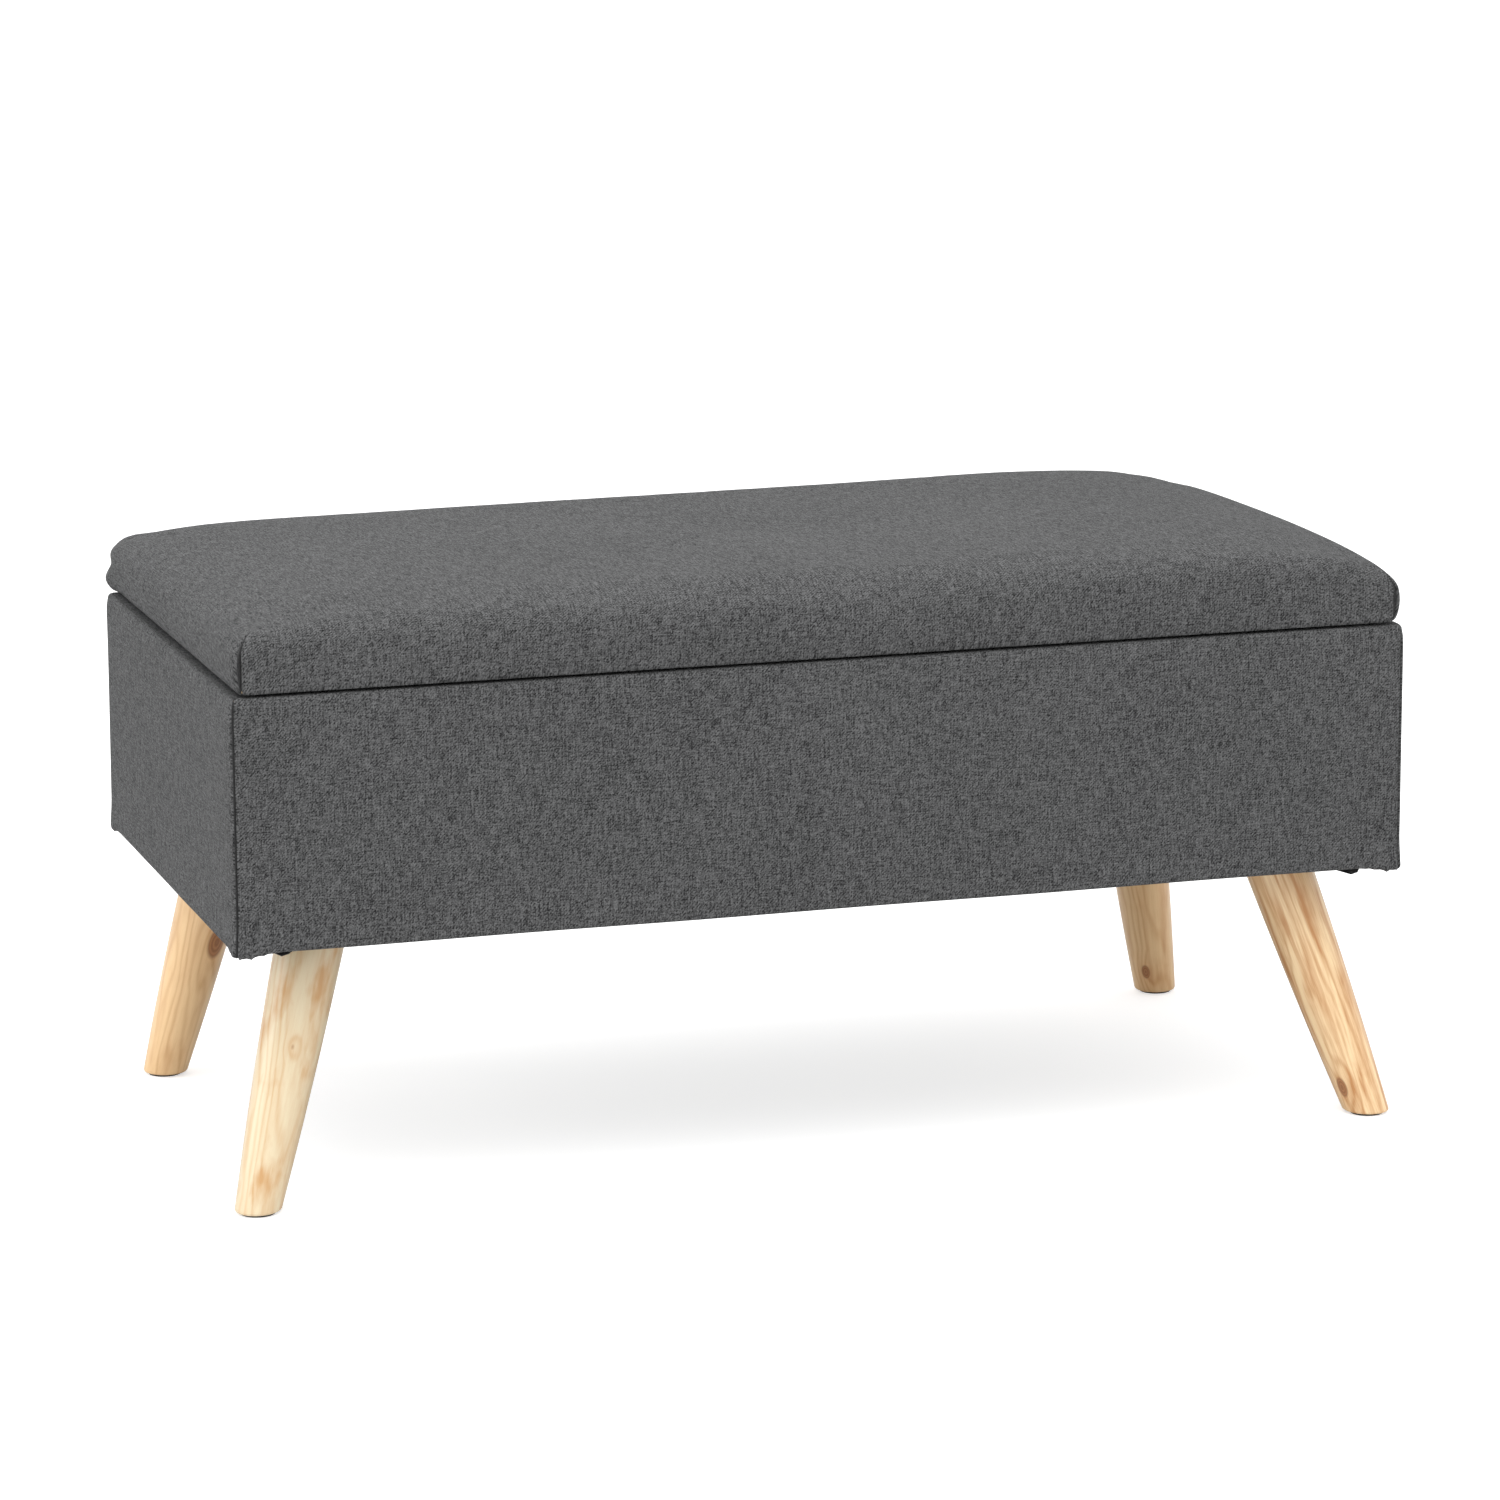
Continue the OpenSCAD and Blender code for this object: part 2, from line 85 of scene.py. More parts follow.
class BenchLid(bpy.types.PropertyGroup):
    """The padded lid."""
    edge: bpy.props.FloatProperty(name="Edge rounding", description="Rounding of the lid's top edge",
                                  default=17 * MM, min=4 * MM, max=30 * MM, unit="LENGTH")
    fall_front: bpy.props.FloatProperty(name="Fall to the front", description="Crown from middle to front",
                                        default=9 * MM, min=0, max=20 * MM, unit="LENGTH")
    fall_end: bpy.props.FloatProperty(name="Fall to the ends", description="Crown from middle to ends",
                                      default=15 * MM, min=0, max=25 * MM, unit="LENGTH")
    bulge: bpy.props.FloatProperty(name="Side bulge", description="How far the sides swell between corners",
                                   default=2.0 * MM, min=0, max=8 * MM, unit="LENGTH")
    end_bulge: bpy.props.FloatProperty(name="End bulge", description="How far the two ends swell out",
                                       default=6.5 * MM, min=0, max=12 * MM, unit="LENGTH")
    fill: bpy.props.FloatProperty(name="Fill", description="How far the middle rises when the pad fills out",
                                  default=6 * MM, min=0, max=12 * MM, unit="LENGTH")
    corner_fold: bpy.props.FloatProperty(name="Corner fold", description="Lump of cloth at a rear corner",
                                         default=6 * MM, min=0, max=9 * MM, unit="LENGTH")


class BenchWood(bpy.types.PropertyGroup):
    """The turned legs."""
    pale: bpy.props.FloatVectorProperty(name="Pale wood", description="Colour between the rings",
                                        default=(0.70, 0.50, 0.32), subtype="COLOR")
    warm: bpy.props.FloatVectorProperty(name="Warm wood", description="Colour of the rings and streaks",
                                        default=(0.47, 0.25, 0.12), subtype="COLOR")
    foot_edge: bpy.props.FloatProperty(name="Foot edge", description="Rounding round the foot",
                                       default=2.2 * MM, min=0.5 * MM, max=5 * MM, unit="LENGTH")


class BenchStage(bpy.types.PropertyGroup):
    """Floor, light and camera."""
    floor: bpy.props.FloatVectorProperty(name="Floor", description="Colour of the floor",
                                         default=(0.74, 0.74, 0.74), subtype="COLOR")
    key: bpy.props.FloatProperty(name="Key light", description="Power of the large soft light",
                                 default=56.0, min=0, max=1000, unit="POWER")
    sky: bpy.props.FloatProperty(name="Sky", description="Strength of the even light all round",
                                 default=1.05, min=0, max=5)
    floor_glow: bpy.props.FloatProperty(name="Floor glow", description="Light the lit floor table gives off",
                                        default=0.58, min=0, max=2)


# ---------------------------------------------------------------- surfaces

def outline(long_n, short_n, corner_n):
    """
    Stations round a rectangle with rounded corners, starting at the middle of the right end and
    going anticlockwise. Each has a spot q on the unit square, which stays still while the
    direction t turns through a corner, so that a ring of half sizes a and b with corner radius r
    is (a - r, b - r) * q + r * t. side is 1 on the front and back and 0 on the ends.
    """
    q, t, side, fold = [], [], [], []
    corners = [(1, 1, 0), (-1, 1, 90), (-1, -1, 180), (1, -1, 270)]
    for i, (cx, cy, start) in enumerate(corners):
        px, py = corners[i - 1][:2]
        n = short_n if i % 2 == 0 else long_n
        k = (1 - np.cos(np.linspace(0, np.pi, n + 1)[1:-1])) / 2
        k = 0.5 * k + 0.5 * np.linspace(0, 1, n + 1)[1:-1]
        q.append(np.column_stack([px + (cx - px) * k, py + (cy - py) * k]))
        t.append(np.tile([np.cos(radians(start)), np.sin(radians(start))], (n - 1, 1)))
        side.append(np.full(n - 1, i % 2))
        fold.append(np.full(n - 1, 1.0))
        a = np.linspace(0, 90, corner_n + 1)
        q.append(np.tile([cx, cy], (corner_n + 1, 1)))
        t.append(np.column_stack([np.cos(np.radians(a + start)), np.sin(np.radians(a + start))]))
        side.append((a < 45) == (i % 2 == 1))
        fold.append(np.abs(a - 45) / 45)
    return np.concatenate(q), np.concatenate(t), np.concatenate(side).astype(float), np.concatenate(fold)


def rings(a, b, r, z, line):
    """Stacked rings: row i has half sizes a[i], b[i], corner radius r[i] and height z[i]."""
    q, t = line[:2]
    a, b, r, z = (np.asarray(v, float)[:, None] for v in (a, b, r, z))
    x = (a - r) * q[None, :, 0] + r * t[None, :, 0]
    y = (b - r) * q[None, :, 1] + r * t[None, :, 1]
    return np.stack([x, y, np.broadcast_to(z, x.shape)], axis=2)


def skin(name, points, first=None, last=None, loop=False, spots=None, seam_shade=None):
    """
    A mesh over a grid of points that closes round each row. first and last are single points that
    close the two ends, and loop joins the last row to the first. spots (two or three values a
    point) and the one-value mask of painted shade along sewn corners are kept on the points as "cloth" and
    "seam".
    """
    m, n = points.shape[:2]
    flat = points.reshape(-1, 3)
    i = np.arange(m if loop else m - 1)[:, None] * n
    up = (np.arange(m if loop else m - 1)[:, None] + 1) % m * n
    j = np.arange(n)[None, :]
    k = (j + 1) % n
    quads = np.stack([i + j, i + k, up + k, up + j], axis=2).reshape(-1, 4)
    faces = quads.tolist()
    extra = []
    for spot, row in ((first, 0), (last, m - 1)):
        if spot is not None:
            c = len(flat) + len(extra)
            extra.append(spot)
            p, s = row * n + np.arange(n), row * n + (np.arange(n) + 1) % n
            tri = np.column_stack([p, np.full(n, c), s] if row == 0 else [p, s, np.full(n, c)])
            faces += tri.tolist()
    if extra:
        flat = np.vstack([flat, extra])
    mesh = bpy.data.meshes.new(name)
    mesh.from_pydata(flat.tolist(), [], faces)
    mesh.polygons.foreach_set("use_smooth", np.ones(len(mesh.polygons), bool))
    for label, kind, values in (("cloth", "FLOAT_VECTOR", spots), ("seam", "FLOAT", seam_shade)):
        if values is None:
            continue
        width = 3 if kind == "FLOAT_VECTOR" else 1
        full = np.zeros((len(flat), width))
        full[:m * n] = values.reshape(m * n, width)
        for e in range(len(extra)):
            full[m * n + e] = full[0 if e == 0 and first is not None else m * n - 1]
        layer = mesh.attributes.new(label, kind, "POINT")
        layer.data.foreach_set("vector" if width == 3 else "value", full.ravel())
    mesh.update()
    piece = bpy.data.objects.new(name, mesh)
    bpy.context.scene.collection.objects.link(piece)
    return piece


def finish_piece(piece, material, body, slot, *nodes):
    """Gives a piece its material and its body, and hides the nodes it stands for. The slot is not used."""
    piece.data.materials.append(material)
    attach(piece, body)
    if nodes:
        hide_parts(*nodes)
    return piece


def step(low, high, v):
    """Smooth rise from 0 at low to 1 at high."""
    k = np.clip((v - low) / (high - low), 0, 1)
    return k * k * (3 - 2 * k)


def ripple(x, y, z, seed):
    """Slow waves of unit height: a few sines of different slants and lengths, added."""
    rng = np.random.default_rng(seed)
    total = np.zeros_like(x)
    for _ in range(7):
        k = rng.normal(0, 22, 3)
        total = total + np.sin(k[0] * x + k[1] * y + k[2] * z + rng.uniform(0, 6.28))
    return total / 4


def fill_out(mesh, held_below, pressure, voxel, cap):
    """
    How a stuffed cover moves when it fills out. A copy of the mesh, rebuilt with even faces, is
    blown up as cloth for 20 frames while everything below held_below stays put. Returns the move
    of each point of the mesh, taken from its four nearest points on the copy, no longer than cap.
    """
    scene = bpy.context.scene
    pad = bpy.data.objects.new("swelling pad", mesh.copy())
    scene.collection.objects.link(pad)
    pad.modifiers.new("even", "REMESH").voxel_size = voxel
    bpy.context.view_layer.update()
    even = bpy.data.meshes.new_from_object(pad.evaluated_get(bpy.context.evaluated_depsgraph_get()))
    pad.modifiers.clear()
    pad.data = even
    start = np.empty(len(even.vertices) * 3)
    even.vertices.foreach_get("co", start)
    start = start.reshape(-1, 3)
    held = pad.vertex_groups.new(name="held")
    held.add(np.flatnonzero(start[:, 2] < held_below).tolist(), 1.0, "REPLACE")
    cloth = pad.modifiers.new("cloth", "CLOTH")
    cloth.settings.quality = 5
    cloth.settings.mass = 0.25
    cloth.settings.tension_stiffness = cloth.settings.compression_stiffness = 25
    cloth.settings.shear_stiffness = 10
    cloth.settings.bending_stiffness = 1.5
    cloth.settings.use_pressure = True
    cloth.settings.uniform_pressure_force = pressure
    cloth.settings.vertex_group_mass = "held"
    cloth.settings.effector_weights.gravity = 0
    cloth.collision_settings.use_collision = False
    cloth.point_cache.frame_start, cloth.point_cache.frame_end = 1, 20
    for f in range(1, 21):
        scene.frame_set(f)
    done = pad.evaluated_get(bpy.context.evaluated_depsgraph_get()).to_mesh()
    end = np.empty(len(even.vertices) * 3)
    done.vertices.foreach_get("co", end)
    move = end.reshape(-1, 3) - start
    bpy.data.objects.remove(pad)
    bpy.data.meshes.remove(even)
    scene.frame_set(1)
    tree = KDTree(len(start))
    for i, spot in enumerate(start):
        tree.insert(spot, i)
    tree.balance()
    out = np.zeros((len(mesh.vertices), 3))
    for v in mesh.vertices:
        near = tree.find_n(v.co, 4)
        w = np.array([1 / (n[2] + 0.5 * voxel) for n in near])
        out[v.index] = w @ move[[n[1] for n in near]] / w.sum()
    length = np.linalg.norm(out, axis=1, keepdims=True)
    return out * np.minimum(1, cap / np.maximum(length, 1e-9))


# ---------------------------------------------------------------- materials

def socket(group, name, kind, out=False, value=None):
    s = group.interface.new_socket(name=name, in_out="OUTPUT" if out else "INPUT", socket_type=kind)
    if value is not None:
        s.default_value = value
    return s


class Wires:
    """Short hand for placing nodes in a tree and joining them."""

    def __init__(self, tree):
        self.tree = tree

    def add(self, kind, inputs=None, **settings):
        node = self.tree.nodes.new(kind)
        for key, value in settings.items():
            setattr(node, key, value)
        for key, value in (inputs or {}).items():
            if isinstance(value, bpy.types.NodeSocket):
                self.tree.links.new(value, node.inputs[key])
            else:
                node.inputs[key].default_value = value
        return node

    def math(self, what, a, b=0.0, c=None, clamp=False):
        ins = {0: a, 1: b}
        if c is not None:
            ins[2] = c
        return self.add("ShaderNodeMath", ins, operation=what, use_clamp=clamp).outputs[0]

    def mix(self, k, a, b, how="MIX"):
        node = self.add("ShaderNodeMix", data_type="RGBA", blend_type=how)
        for spot, value in ((0, k), (6, a), (7, b)):
            if isinstance(value, bpy.types.NodeSocket):
                self.tree.links.new(value, node.inputs[spot])
            else:
                node.inputs[spot].default_value = value
        return node.outputs[2]

    def noise(self, vector, scale, detail=2.0, rough=0.5):
        return self.add("ShaderNodeTexNoise", {"Vector": vector, "Scale": scale, "Detail": detail,
                                               "Roughness": rough}).outputs[0]

    def stretch(self, vector, x, y, z):
        return self.add("ShaderNodeMapping", {"Vector": vector, "Scale": (x, y, z)}).outputs[0]

    def span(self, value, low, high, to_low=0.0, to_high=1.0):
        return self.add("ShaderNodeMapRange", {0: value, 1: low, 2: high, 3: to_low, 4: to_high}).outputs[0]


def new_group(name, ins, outs):
    group = bpy.data.node_groups.new(name, "ShaderNodeTree")
    for label, kind, value in ins:
        socket(group, label, kind, value=value)
    for label, kind in outs:
        socket(group, label, kind, out=True)
    w = Wires(group)
    return group, w, w.add("NodeGroupInput").outputs, w.add("NodeGroupOutput").inputs


def twill_group():
    """
    Heathered twill. Spot is the place on the cloth in metres, x across and y along the warp. Each
    yarn crossing is a bump along a slanting line, every yarn has its own shade from noise drawn
    out along it, and the two shades are mixed where one yarn passes over the other.
    """
    if "Heathered twill" in bpy.data.node_groups:
        return bpy.data.node_groups["Heathered twill"]
    group, w, i, o = new_group(
        "Heathered twill",
        [("Spot", "NodeSocketVector", None), ("Pitch", "NodeSocketFloat", 0.0025),
         ("Dark yarn", "NodeSocketColor", (0.04, 0.04, 0.04, 1)),
         ("Light yarn", "NodeSocketColor", (0.22, 0.22, 0.22, 1)), ("Heather", "NodeSocketFloat", 1.0)],
        [("Color", "NodeSocketColor"), ("Height", "NodeSocketFloat"), ("Nap", "NodeSocketFloat")])
    part = w.add("ShaderNodeSeparateXYZ", {0: i["Spot"]}).outputs
    # two sets of yarn, and the slanting lines where the warp passes over
    turn = w.math("DIVIDE", 6.2832, i["Pitch"])
    across = w.math("MULTIPLY", part[0], turn)
    along = w.math("MULTIPLY", part[1], turn)
    wobble = w.math("MULTIPLY", w.noise(i["Spot"], 260.0, 1.0), 2.6)
    slant = w.math("ADD", w.math("MULTIPLY", w.math("SUBTRACT", along, across), 0.72), wobble)
    over = w.math("SINE", slant)
    warp_round = w.math("SINE", w.math("MULTIPLY", across, 2.0))
    weft_round = w.math("SINE", w.math("MULTIPLY", along, 2.0))
    over01 = w.span(over, -0.7, 0.7)
    # shades of single yarns: each float of warp or weft has its own, and slubs run on along a yarn
    floats = []
    for sx, sy in ((1050.0, 400.0), (400.0, 1050.0)):
        cells = w.add("ShaderNodeTexVoronoi", {"Vector": w.stretch(i["Spot"], sx, sy, 1.0), "Scale": 1.0,
                                               "Randomness": 0.7}, voronoi_dimensions="2D")
        floats.append(w.add("ShaderNodeSeparateColor", {0: cells.outputs["Color"]}).outputs[0])
    single = w.add("ShaderNodeMix", {0: over01, 2: floats[1], 3: floats[0]}, data_type="FLOAT").outputs[0]
    warp_slub = w.noise(w.stretch(i["Spot"], 760.0, 66.0, 1.0), 1.0, 2.0, 0.6)
    weft_slub = w.noise(w.stretch(i["Spot"], 66.0, 760.0, 1.0), 1.0, 2.0, 0.6)
    speck = w.noise(i["Spot"], 820.0, 1.0, 0.5)
    cloud = w.noise(i["Spot"], 7.0, 3.0, 0.55)
    shade = w.math("MULTIPLY", single, 0.46)
    shade = w.math("ADD", shade, w.math("MULTIPLY", over, 0.08))
    shade = w.math("ADD", shade, w.math("MULTIPLY", w.math("SUBTRACT", speck, 0.5), 1.05))
    shade = w.math("ADD", shade, w.math("MULTIPLY", w.math("SUBTRACT", warp_slub, 0.5), 0.85))
    shade = w.math("ADD", shade, w.math("MULTIPLY", w.math("SUBTRACT", weft_slub, 0.5), 0.65))
    shade = w.math("ADD", shade, w.math("MULTIPLY", w.math("SUBTRACT", cloud, 0.5), 0.12))
    shade = w.math("ADD", shade, 0.23)
    shade = w.math("MULTIPLY", w.math("SUBTRACT", shade, 0.46), i["Heather"])
    shade = w.math("ADD", shade, 0.46, clamp=True)
    color = w.mix(shade, i["Dark yarn"], i["Light yarn"])
    height = w.add("ShaderNodeMix", {0: over01, 2: weft_round, 3: warp_round}, data_type="FLOAT").outputs[0]
    height = w.math("ADD", w.math("MULTIPLY", height, 0.3), w.math("MULTIPLY", over, 0.3))
    height = w.math("ADD", height, w.math("MULTIPLY", speck, 0.8))
    height = w.math("ADD", height, w.math("ADD", warp_slub, weft_slub))
    for label, value in (("Color", color), ("Height", height), ("Nap", w.span(speck, 0.3, 0.7, 0.90, 1.0))):
        group.links.new(value, o[label])
    return group


def grain_group():
    """
    Plain-sawn wood. Spot is the place in the leg's own frame in metres, z along it. Rings are a
    wave of the distance from a heart line off to one side, bent by noise; pores are noise drawn
    out along the leg; a knot is a set of close rings round one spot.
    """
    if "Turned wood" in bpy.data.node_groups:
        return bpy.data.node_groups["Turned wood"]
    group, w, i, o = new_group(
        "Turned wood",
        [("Spot", "NodeSocketVector", None), ("Heart", "NodeSocketVector", (0.03, 0.02, 0.0)),
         ("Pale", "NodeSocketColor", (0.7, 0.5, 0.3, 1)), ("Warm", "NodeSocketColor", (0.45, 0.25, 0.1, 1)),
         ("Knot", "NodeSocketVector", (0, 0, -1)), ("Knot size", "NodeSocketFloat", 0.01),
         ("Streaks", "NodeSocketFloat", 0.5), ("Patches", "NodeSocketFloat", 0.3)],
        [("Color", "NodeSocketColor"), ("Height", "NodeSocketFloat"), ("Gloss", "NodeSocketFloat")])
    gap = w.add("ShaderNodeVectorMath", {0: i["Spot"], 1: i["Knot"]}, operation="SUBTRACT").outputs[0]
    gap = w.stretch(gap, 1.0, 1.0, 0.52)
    away = w.add("ShaderNodeVectorMath", {0: gap}, operation="LENGTH").outputs[1]
    near = w.math("DIVIDE", away, i["Knot size"])
    inside = w.span(near, 0.75, 1.05, 1.0, 0.0)
    halo = w.span(near, 0.9, 3.2, 1.0, 0.0)
    bend = w.noise(w.stretch(i["Spot"], 26.0, 26.0, 4.5), 1.0, 3.0, 0.55)
    off = w.add("ShaderNodeVectorMath", {0: i["Spot"], 1: i["Heart"]}, operation="SUBTRACT").outputs[0]
    off = w.stretch(off, 1.0, 1.0, 0.09)
    far = w.add("ShaderNodeVectorMath", {0: off}, operation="LENGTH").outputs[1]
    far = w.math("ADD", far, w.math("MULTIPLY", bend, 0.045))
    far = w.math("ADD", far, w.math("MULTIPLY", halo, 0.006))
    ring = w.math("SINE", w.math("MULTIPLY", far, 900.0))
    ring = w.math("POWER", w.span(ring, -1.0, 1.0), 2.6)
    pore = w.noise(w.stretch(i["Spot"], 1500.0, 1500.0, 42.0), 1.0, 3.0, 0.65)
    streak = w.noise(w.stretch(i["Spot"], 150.0, 150.0, 7.0), 1.0, 4.0, 0.65)
    patch = w.noise(w.stretch(i["Spot"], 48.0, 48.0, 20.0), 1.0, 3.0, 0.6)
    k = w.math("MULTIPLY", ring, 0.34)
    k = w.math("ADD", k, w.math("MULTIPLY", w.span(streak, 0.42, 0.72), i["Streaks"]))
    k = w.math("ADD", k, w.math("MULTIPLY", w.span(patch, 0.52, 0.74), i["Patches"]))
    k = w.math("ADD", k, w.math("MULTIPLY", w.span(pore, 0.5, 0.8), 0.22))
    k = w.math("ADD", k, w.math("MULTIPLY", halo, 0.22), clamp=True)
    color = w.mix(k, i["Pale"], i["Warm"])
    knot_ring = w.span(w.math("SINE", w.math("MULTIPLY", near, 21.0)), -1.0, 1.0, 0.55, 1.0)
    knot = w.mix(knot_ring, (0.13, 0.045, 0.014, 1), (0.42, 0.18, 0.065, 1))
    color = w.mix(inside, color, knot)
    height = w.math("ADD", w.math("MULTIPLY", pore, 0.6), w.math("MULTIPLY", ring, 0.25))
    gloss = w.span(pore, 0.35, 0.75, 0.30, 0.46)
    for label, value in (("Color", color), ("Height", height), ("Gloss", gloss)):
        group.links.new(value, o[label])
    return group


def dust_group():
    """Fine lint and soft grime: a colour mixed in where slow and fast noise both run high."""
    if "Lint and grime" in bpy.data.node_groups:
        return bpy.data.node_groups["Lint and grime"]
    group, w, i, o = new_group(
        "Lint and grime",
        [("Spot", "NodeSocketVector", None), ("Color", "NodeSocketColor", (0.1, 0.1, 0.1, 1)),
         ("Lint", "NodeSocketColor", (0.4, 0.4, 0.4, 1)), ("Amount", "NodeSocketFloat", 0.1)],
        [("Color", "NodeSocketColor"), ("Mask", "NodeSocketFloat")])
    slow = w.span(w.noise(i["Spot"], 9.0, 3.0), 0.45, 0.75)
    fast = w.span(w.noise(i["Spot"], 420.0, 2.0), 0.55, 0.75)
    mask = w.math("MULTIPLY", w.math("MULTIPLY", slow, fast), i["Amount"], clamp=True)
    group.links.new(w.mix(mask, i["Color"], i["Lint"]), o["Color"])
    group.links.new(mask, o["Mask"])
    return group


def new_material(name):
    material = bpy.data.materials.new(name)
    material.use_nodes = True
    tree = material.node_tree
    w = Wires(tree)
    return material, w, tree.nodes["Principled BSDF"]


def bump(w, shader, height, distance, strength=1.0):
    node = w.add("ShaderNodeBump", {"Height": height, "Distance": distance, "Strength": strength})
    w.tree.links.new(node.outputs[0], shader.inputs["Normal"])


def put(w, shader, **links):
    for label, value in links.items():
        w.tree.links.new(value, shader.inputs[label.replace("_", " ")])


def use(w, group, inputs):
    node = w.add("ShaderNodeGroup")
    node.node_tree = group
    for key, value in inputs.items():
        if isinstance(value, bpy.types.NodeSocket):
            w.tree.links.new(value, node.inputs[key])
        else:
            node.inputs[key].default_value = value
    return node.outputs


def twill():
    """Grey heathered twill on the cover pieces, with painted shade along the sewn corner creases."""
    if "grey twill" in bpy.data.materials:
        return bpy.data.materials["grey twill"]
    p = bpy.context.scene.bench_cloth
    material, w, shader = new_material("grey twill")
    spot = w.add("ShaderNodeAttribute", attribute_name="cloth").outputs["Vector"]
    seam = w.add("ShaderNodeAttribute", attribute_name="seam").outputs["Fac"]
    cloth = use(w, twill_group(), {"Spot": spot, "Pitch": p.thread, "Dark yarn": (*p.dark, 1),
                                   "Light yarn": (*p.light, 1), "Heather": 1.35})
    # painted shade: the cloth colour is pulled towards near black along the sewn corner creases, by the seam
    # mask
    color = w.mix(w.math("MULTIPLY", seam, 0.6, clamp=True), cloth["Color"], (0.006, 0.006, 0.006, 1))
    lint = use(w, dust_group(), {"Spot": spot, "Color": color, "Lint": (0.33, 0.33, 0.33, 1), "Amount": 0.25})
    put(w, shader, Base_Color=lint["Color"], Roughness=cloth["Nap"])
    shader.inputs["Sheen Weight"].default_value = 0.03
    shader.inputs["Sheen Roughness"].default_value = 0.45
    shader.inputs["Specular IOR Level"].default_value = 0.10
    bump(w, shader, cloth["Height"], 0.00028, 0.85)
    return material


def felted_cloth(name, color, fibre):
    """Thin non-woven cloth: pressed spots in rows over random fibres."""
    if name in bpy.data.materials:
        return bpy.data.materials[name]
    material, w, shader = new_material(name)
    spot = w.add("ShaderNodeTexCoord").outputs["Object"]
    part = w.add("ShaderNodeSeparateXYZ", {0: spot}).outputs
    a = w.math("SINE", w.math("MULTIPLY", w.math("ADD", part[0], part[2]), 2400.0))
    b = w.math("SINE", w.math("MULTIPLY", w.math("ADD", part[1], part[2]), 2400.0))
    dots = w.span(w.math("MULTIPLY", a, b), 0.3, 0.9)
    fibres = w.noise(w.stretch(spot, 900.0, 300.0, 500.0), 1.0, 4.0, 0.7)
    mixed = w.mix(w.span(fibres, 0.4, 0.7), (*color, 1), (*fibre, 1))
    mixed = w.mix(w.math("MULTIPLY", dots, 0.35), mixed, (*[c * 0.5 for c in color], 1))
    lint = use(w, dust_group(), {"Spot": spot, "Color": mixed, "Lint": (0.25, 0.24, 0.22, 1), "Amount": 0.3})
    put(w, shader, Base_Color=lint["Color"], Roughness=w.span(fibres, 0.3, 0.7, 0.75, 0.95))
    bump(w, shader, w.math("SUBTRACT", fibres, dots), 0.0003, 0.7)
    return material


def leg_wood(name, heart, knot, knot_size, streaks, patches, pale=None, warm=None):
    """Lacquered wood of one leg, read in the leg's own frame kept on its points as "cloth"."""
    p = bpy.context.scene.bench_wood
    material, w, shader = new_material(name)
    spot = w.add("ShaderNodeAttribute", attribute_name="cloth").outputs["Vector"]
    wood = use(w, grain_group(), {"Spot": spot, "Heart": heart, "Pale": (*(pale or p.pale), 1),
                                  "Warm": (*(warm or p.warm), 1), "Knot": knot, "Knot size": knot_size,
                                  "Streaks": streaks, "Patches": patches})
    put(w, shader, Base_Color=wood["Color"], Roughness=wood["Gloss"])
    shader.inputs["Coat Weight"].default_value = 0.35
    shader.inputs["Coat Roughness"].default_value = 0.18
    bump(w, shader, wood["Height"], 0.00012, 0.5)
    return material


def board(name, pale, warm, chips):
    """Raw board or sawn wood: chips or long grain with a rough surface."""
    material, w, shader = new_material(name)
    spot = w.add("ShaderNodeTexCoord").outputs["Object"]
    if chips:
        grain = w.add("ShaderNodeTexVoronoi", {"Vector": w.stretch(spot, 260.0, 260.0, 520.0), "Scale": 1.0})
        grain = w.noise(grain.outputs["Position"], 3.0, 1.0)
    else:
        grain = w.noise(w.stretch(spot, 9.0, 160.0, 160.0), 1.0, 4.0, 0.65)
    fine = w.noise(spot, 700.0, 3.0)
    color = w.mix(w.span(grain, 0.35, 0.65), (*pale, 1), (*warm, 1))
    put(w, shader, Base_Color=color, Roughness=w.span(fine, 0.3, 0.7, 0.6, 0.85))
    bump(w, shader, w.math("ADD", grain, fine), 0.0003, 0.6)
    return material


def plated(name, color, rough):
    """Zinc-plated steel: fine drawn lines, cloudy plating and small dull spots."""
    material, w, shader = new_material(name)
    spot = w.add("ShaderNodeTexCoord").outputs["Object"]
    lines = w.noise(w.stretch(spot, 2600.0, 90.0, 90.0), 1.0, 3.0)
    cloud = w.noise(spot, 60.0, 3.0)
    specks = w.span(w.noise(spot, 900.0, 2.0), 0.62, 0.72)
    tint = w.mix(w.span(cloud, 0.35, 0.65), (*color, 1), (*[c * 0.82 for c in color], 1))
    tint = w.mix(w.math("MULTIPLY", specks, 0.3), tint, (0.16, 0.15, 0.14, 1))
    drawn = w.span(lines, 0.3, 0.7, rough - 0.06, rough + 0.08)
    put(w, shader, Base_Color=tint, Roughness=w.math("ADD", drawn, w.math("MULTIPLY", specks, 0.2)))
    shader.inputs["Metallic"].default_value = 0.95
    bump(w, shader, lines, 0.00004, 0.5)
    return material


def moulded(name, color):
    """Moulded black plastic with a fine spark texture."""
    material, w, shader = new_material(name)
    spot = w.add("ShaderNodeTexCoord").outputs["Object"]
    fine = w.noise(spot, 1500.0, 3.0)
    scuff = w.span(w.noise(spot, 130.0, 3.0), 0.5, 0.7)
    put(w, shader, Base_Color=w.mix(w.math("MULTIPLY", scuff, 0.4), (*color, 1), (0.10, 0.10, 0.10, 1)),
        Roughness=w.span(fine, 0.3, 0.7, 0.45, 0.65))
    bump(w, shader, fine, 0.0001, 0.5)
    return material


def repaint(material, *nodes):
    """Puts a material in every slot of carried-over nodes."""
    for node in nodes:
        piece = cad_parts[node]
        if not piece.material_slots:
            piece.data.materials.append(material)
        for s in piece.material_slots:
            s.material = material


# ---------------------------------------------------------------- pieces

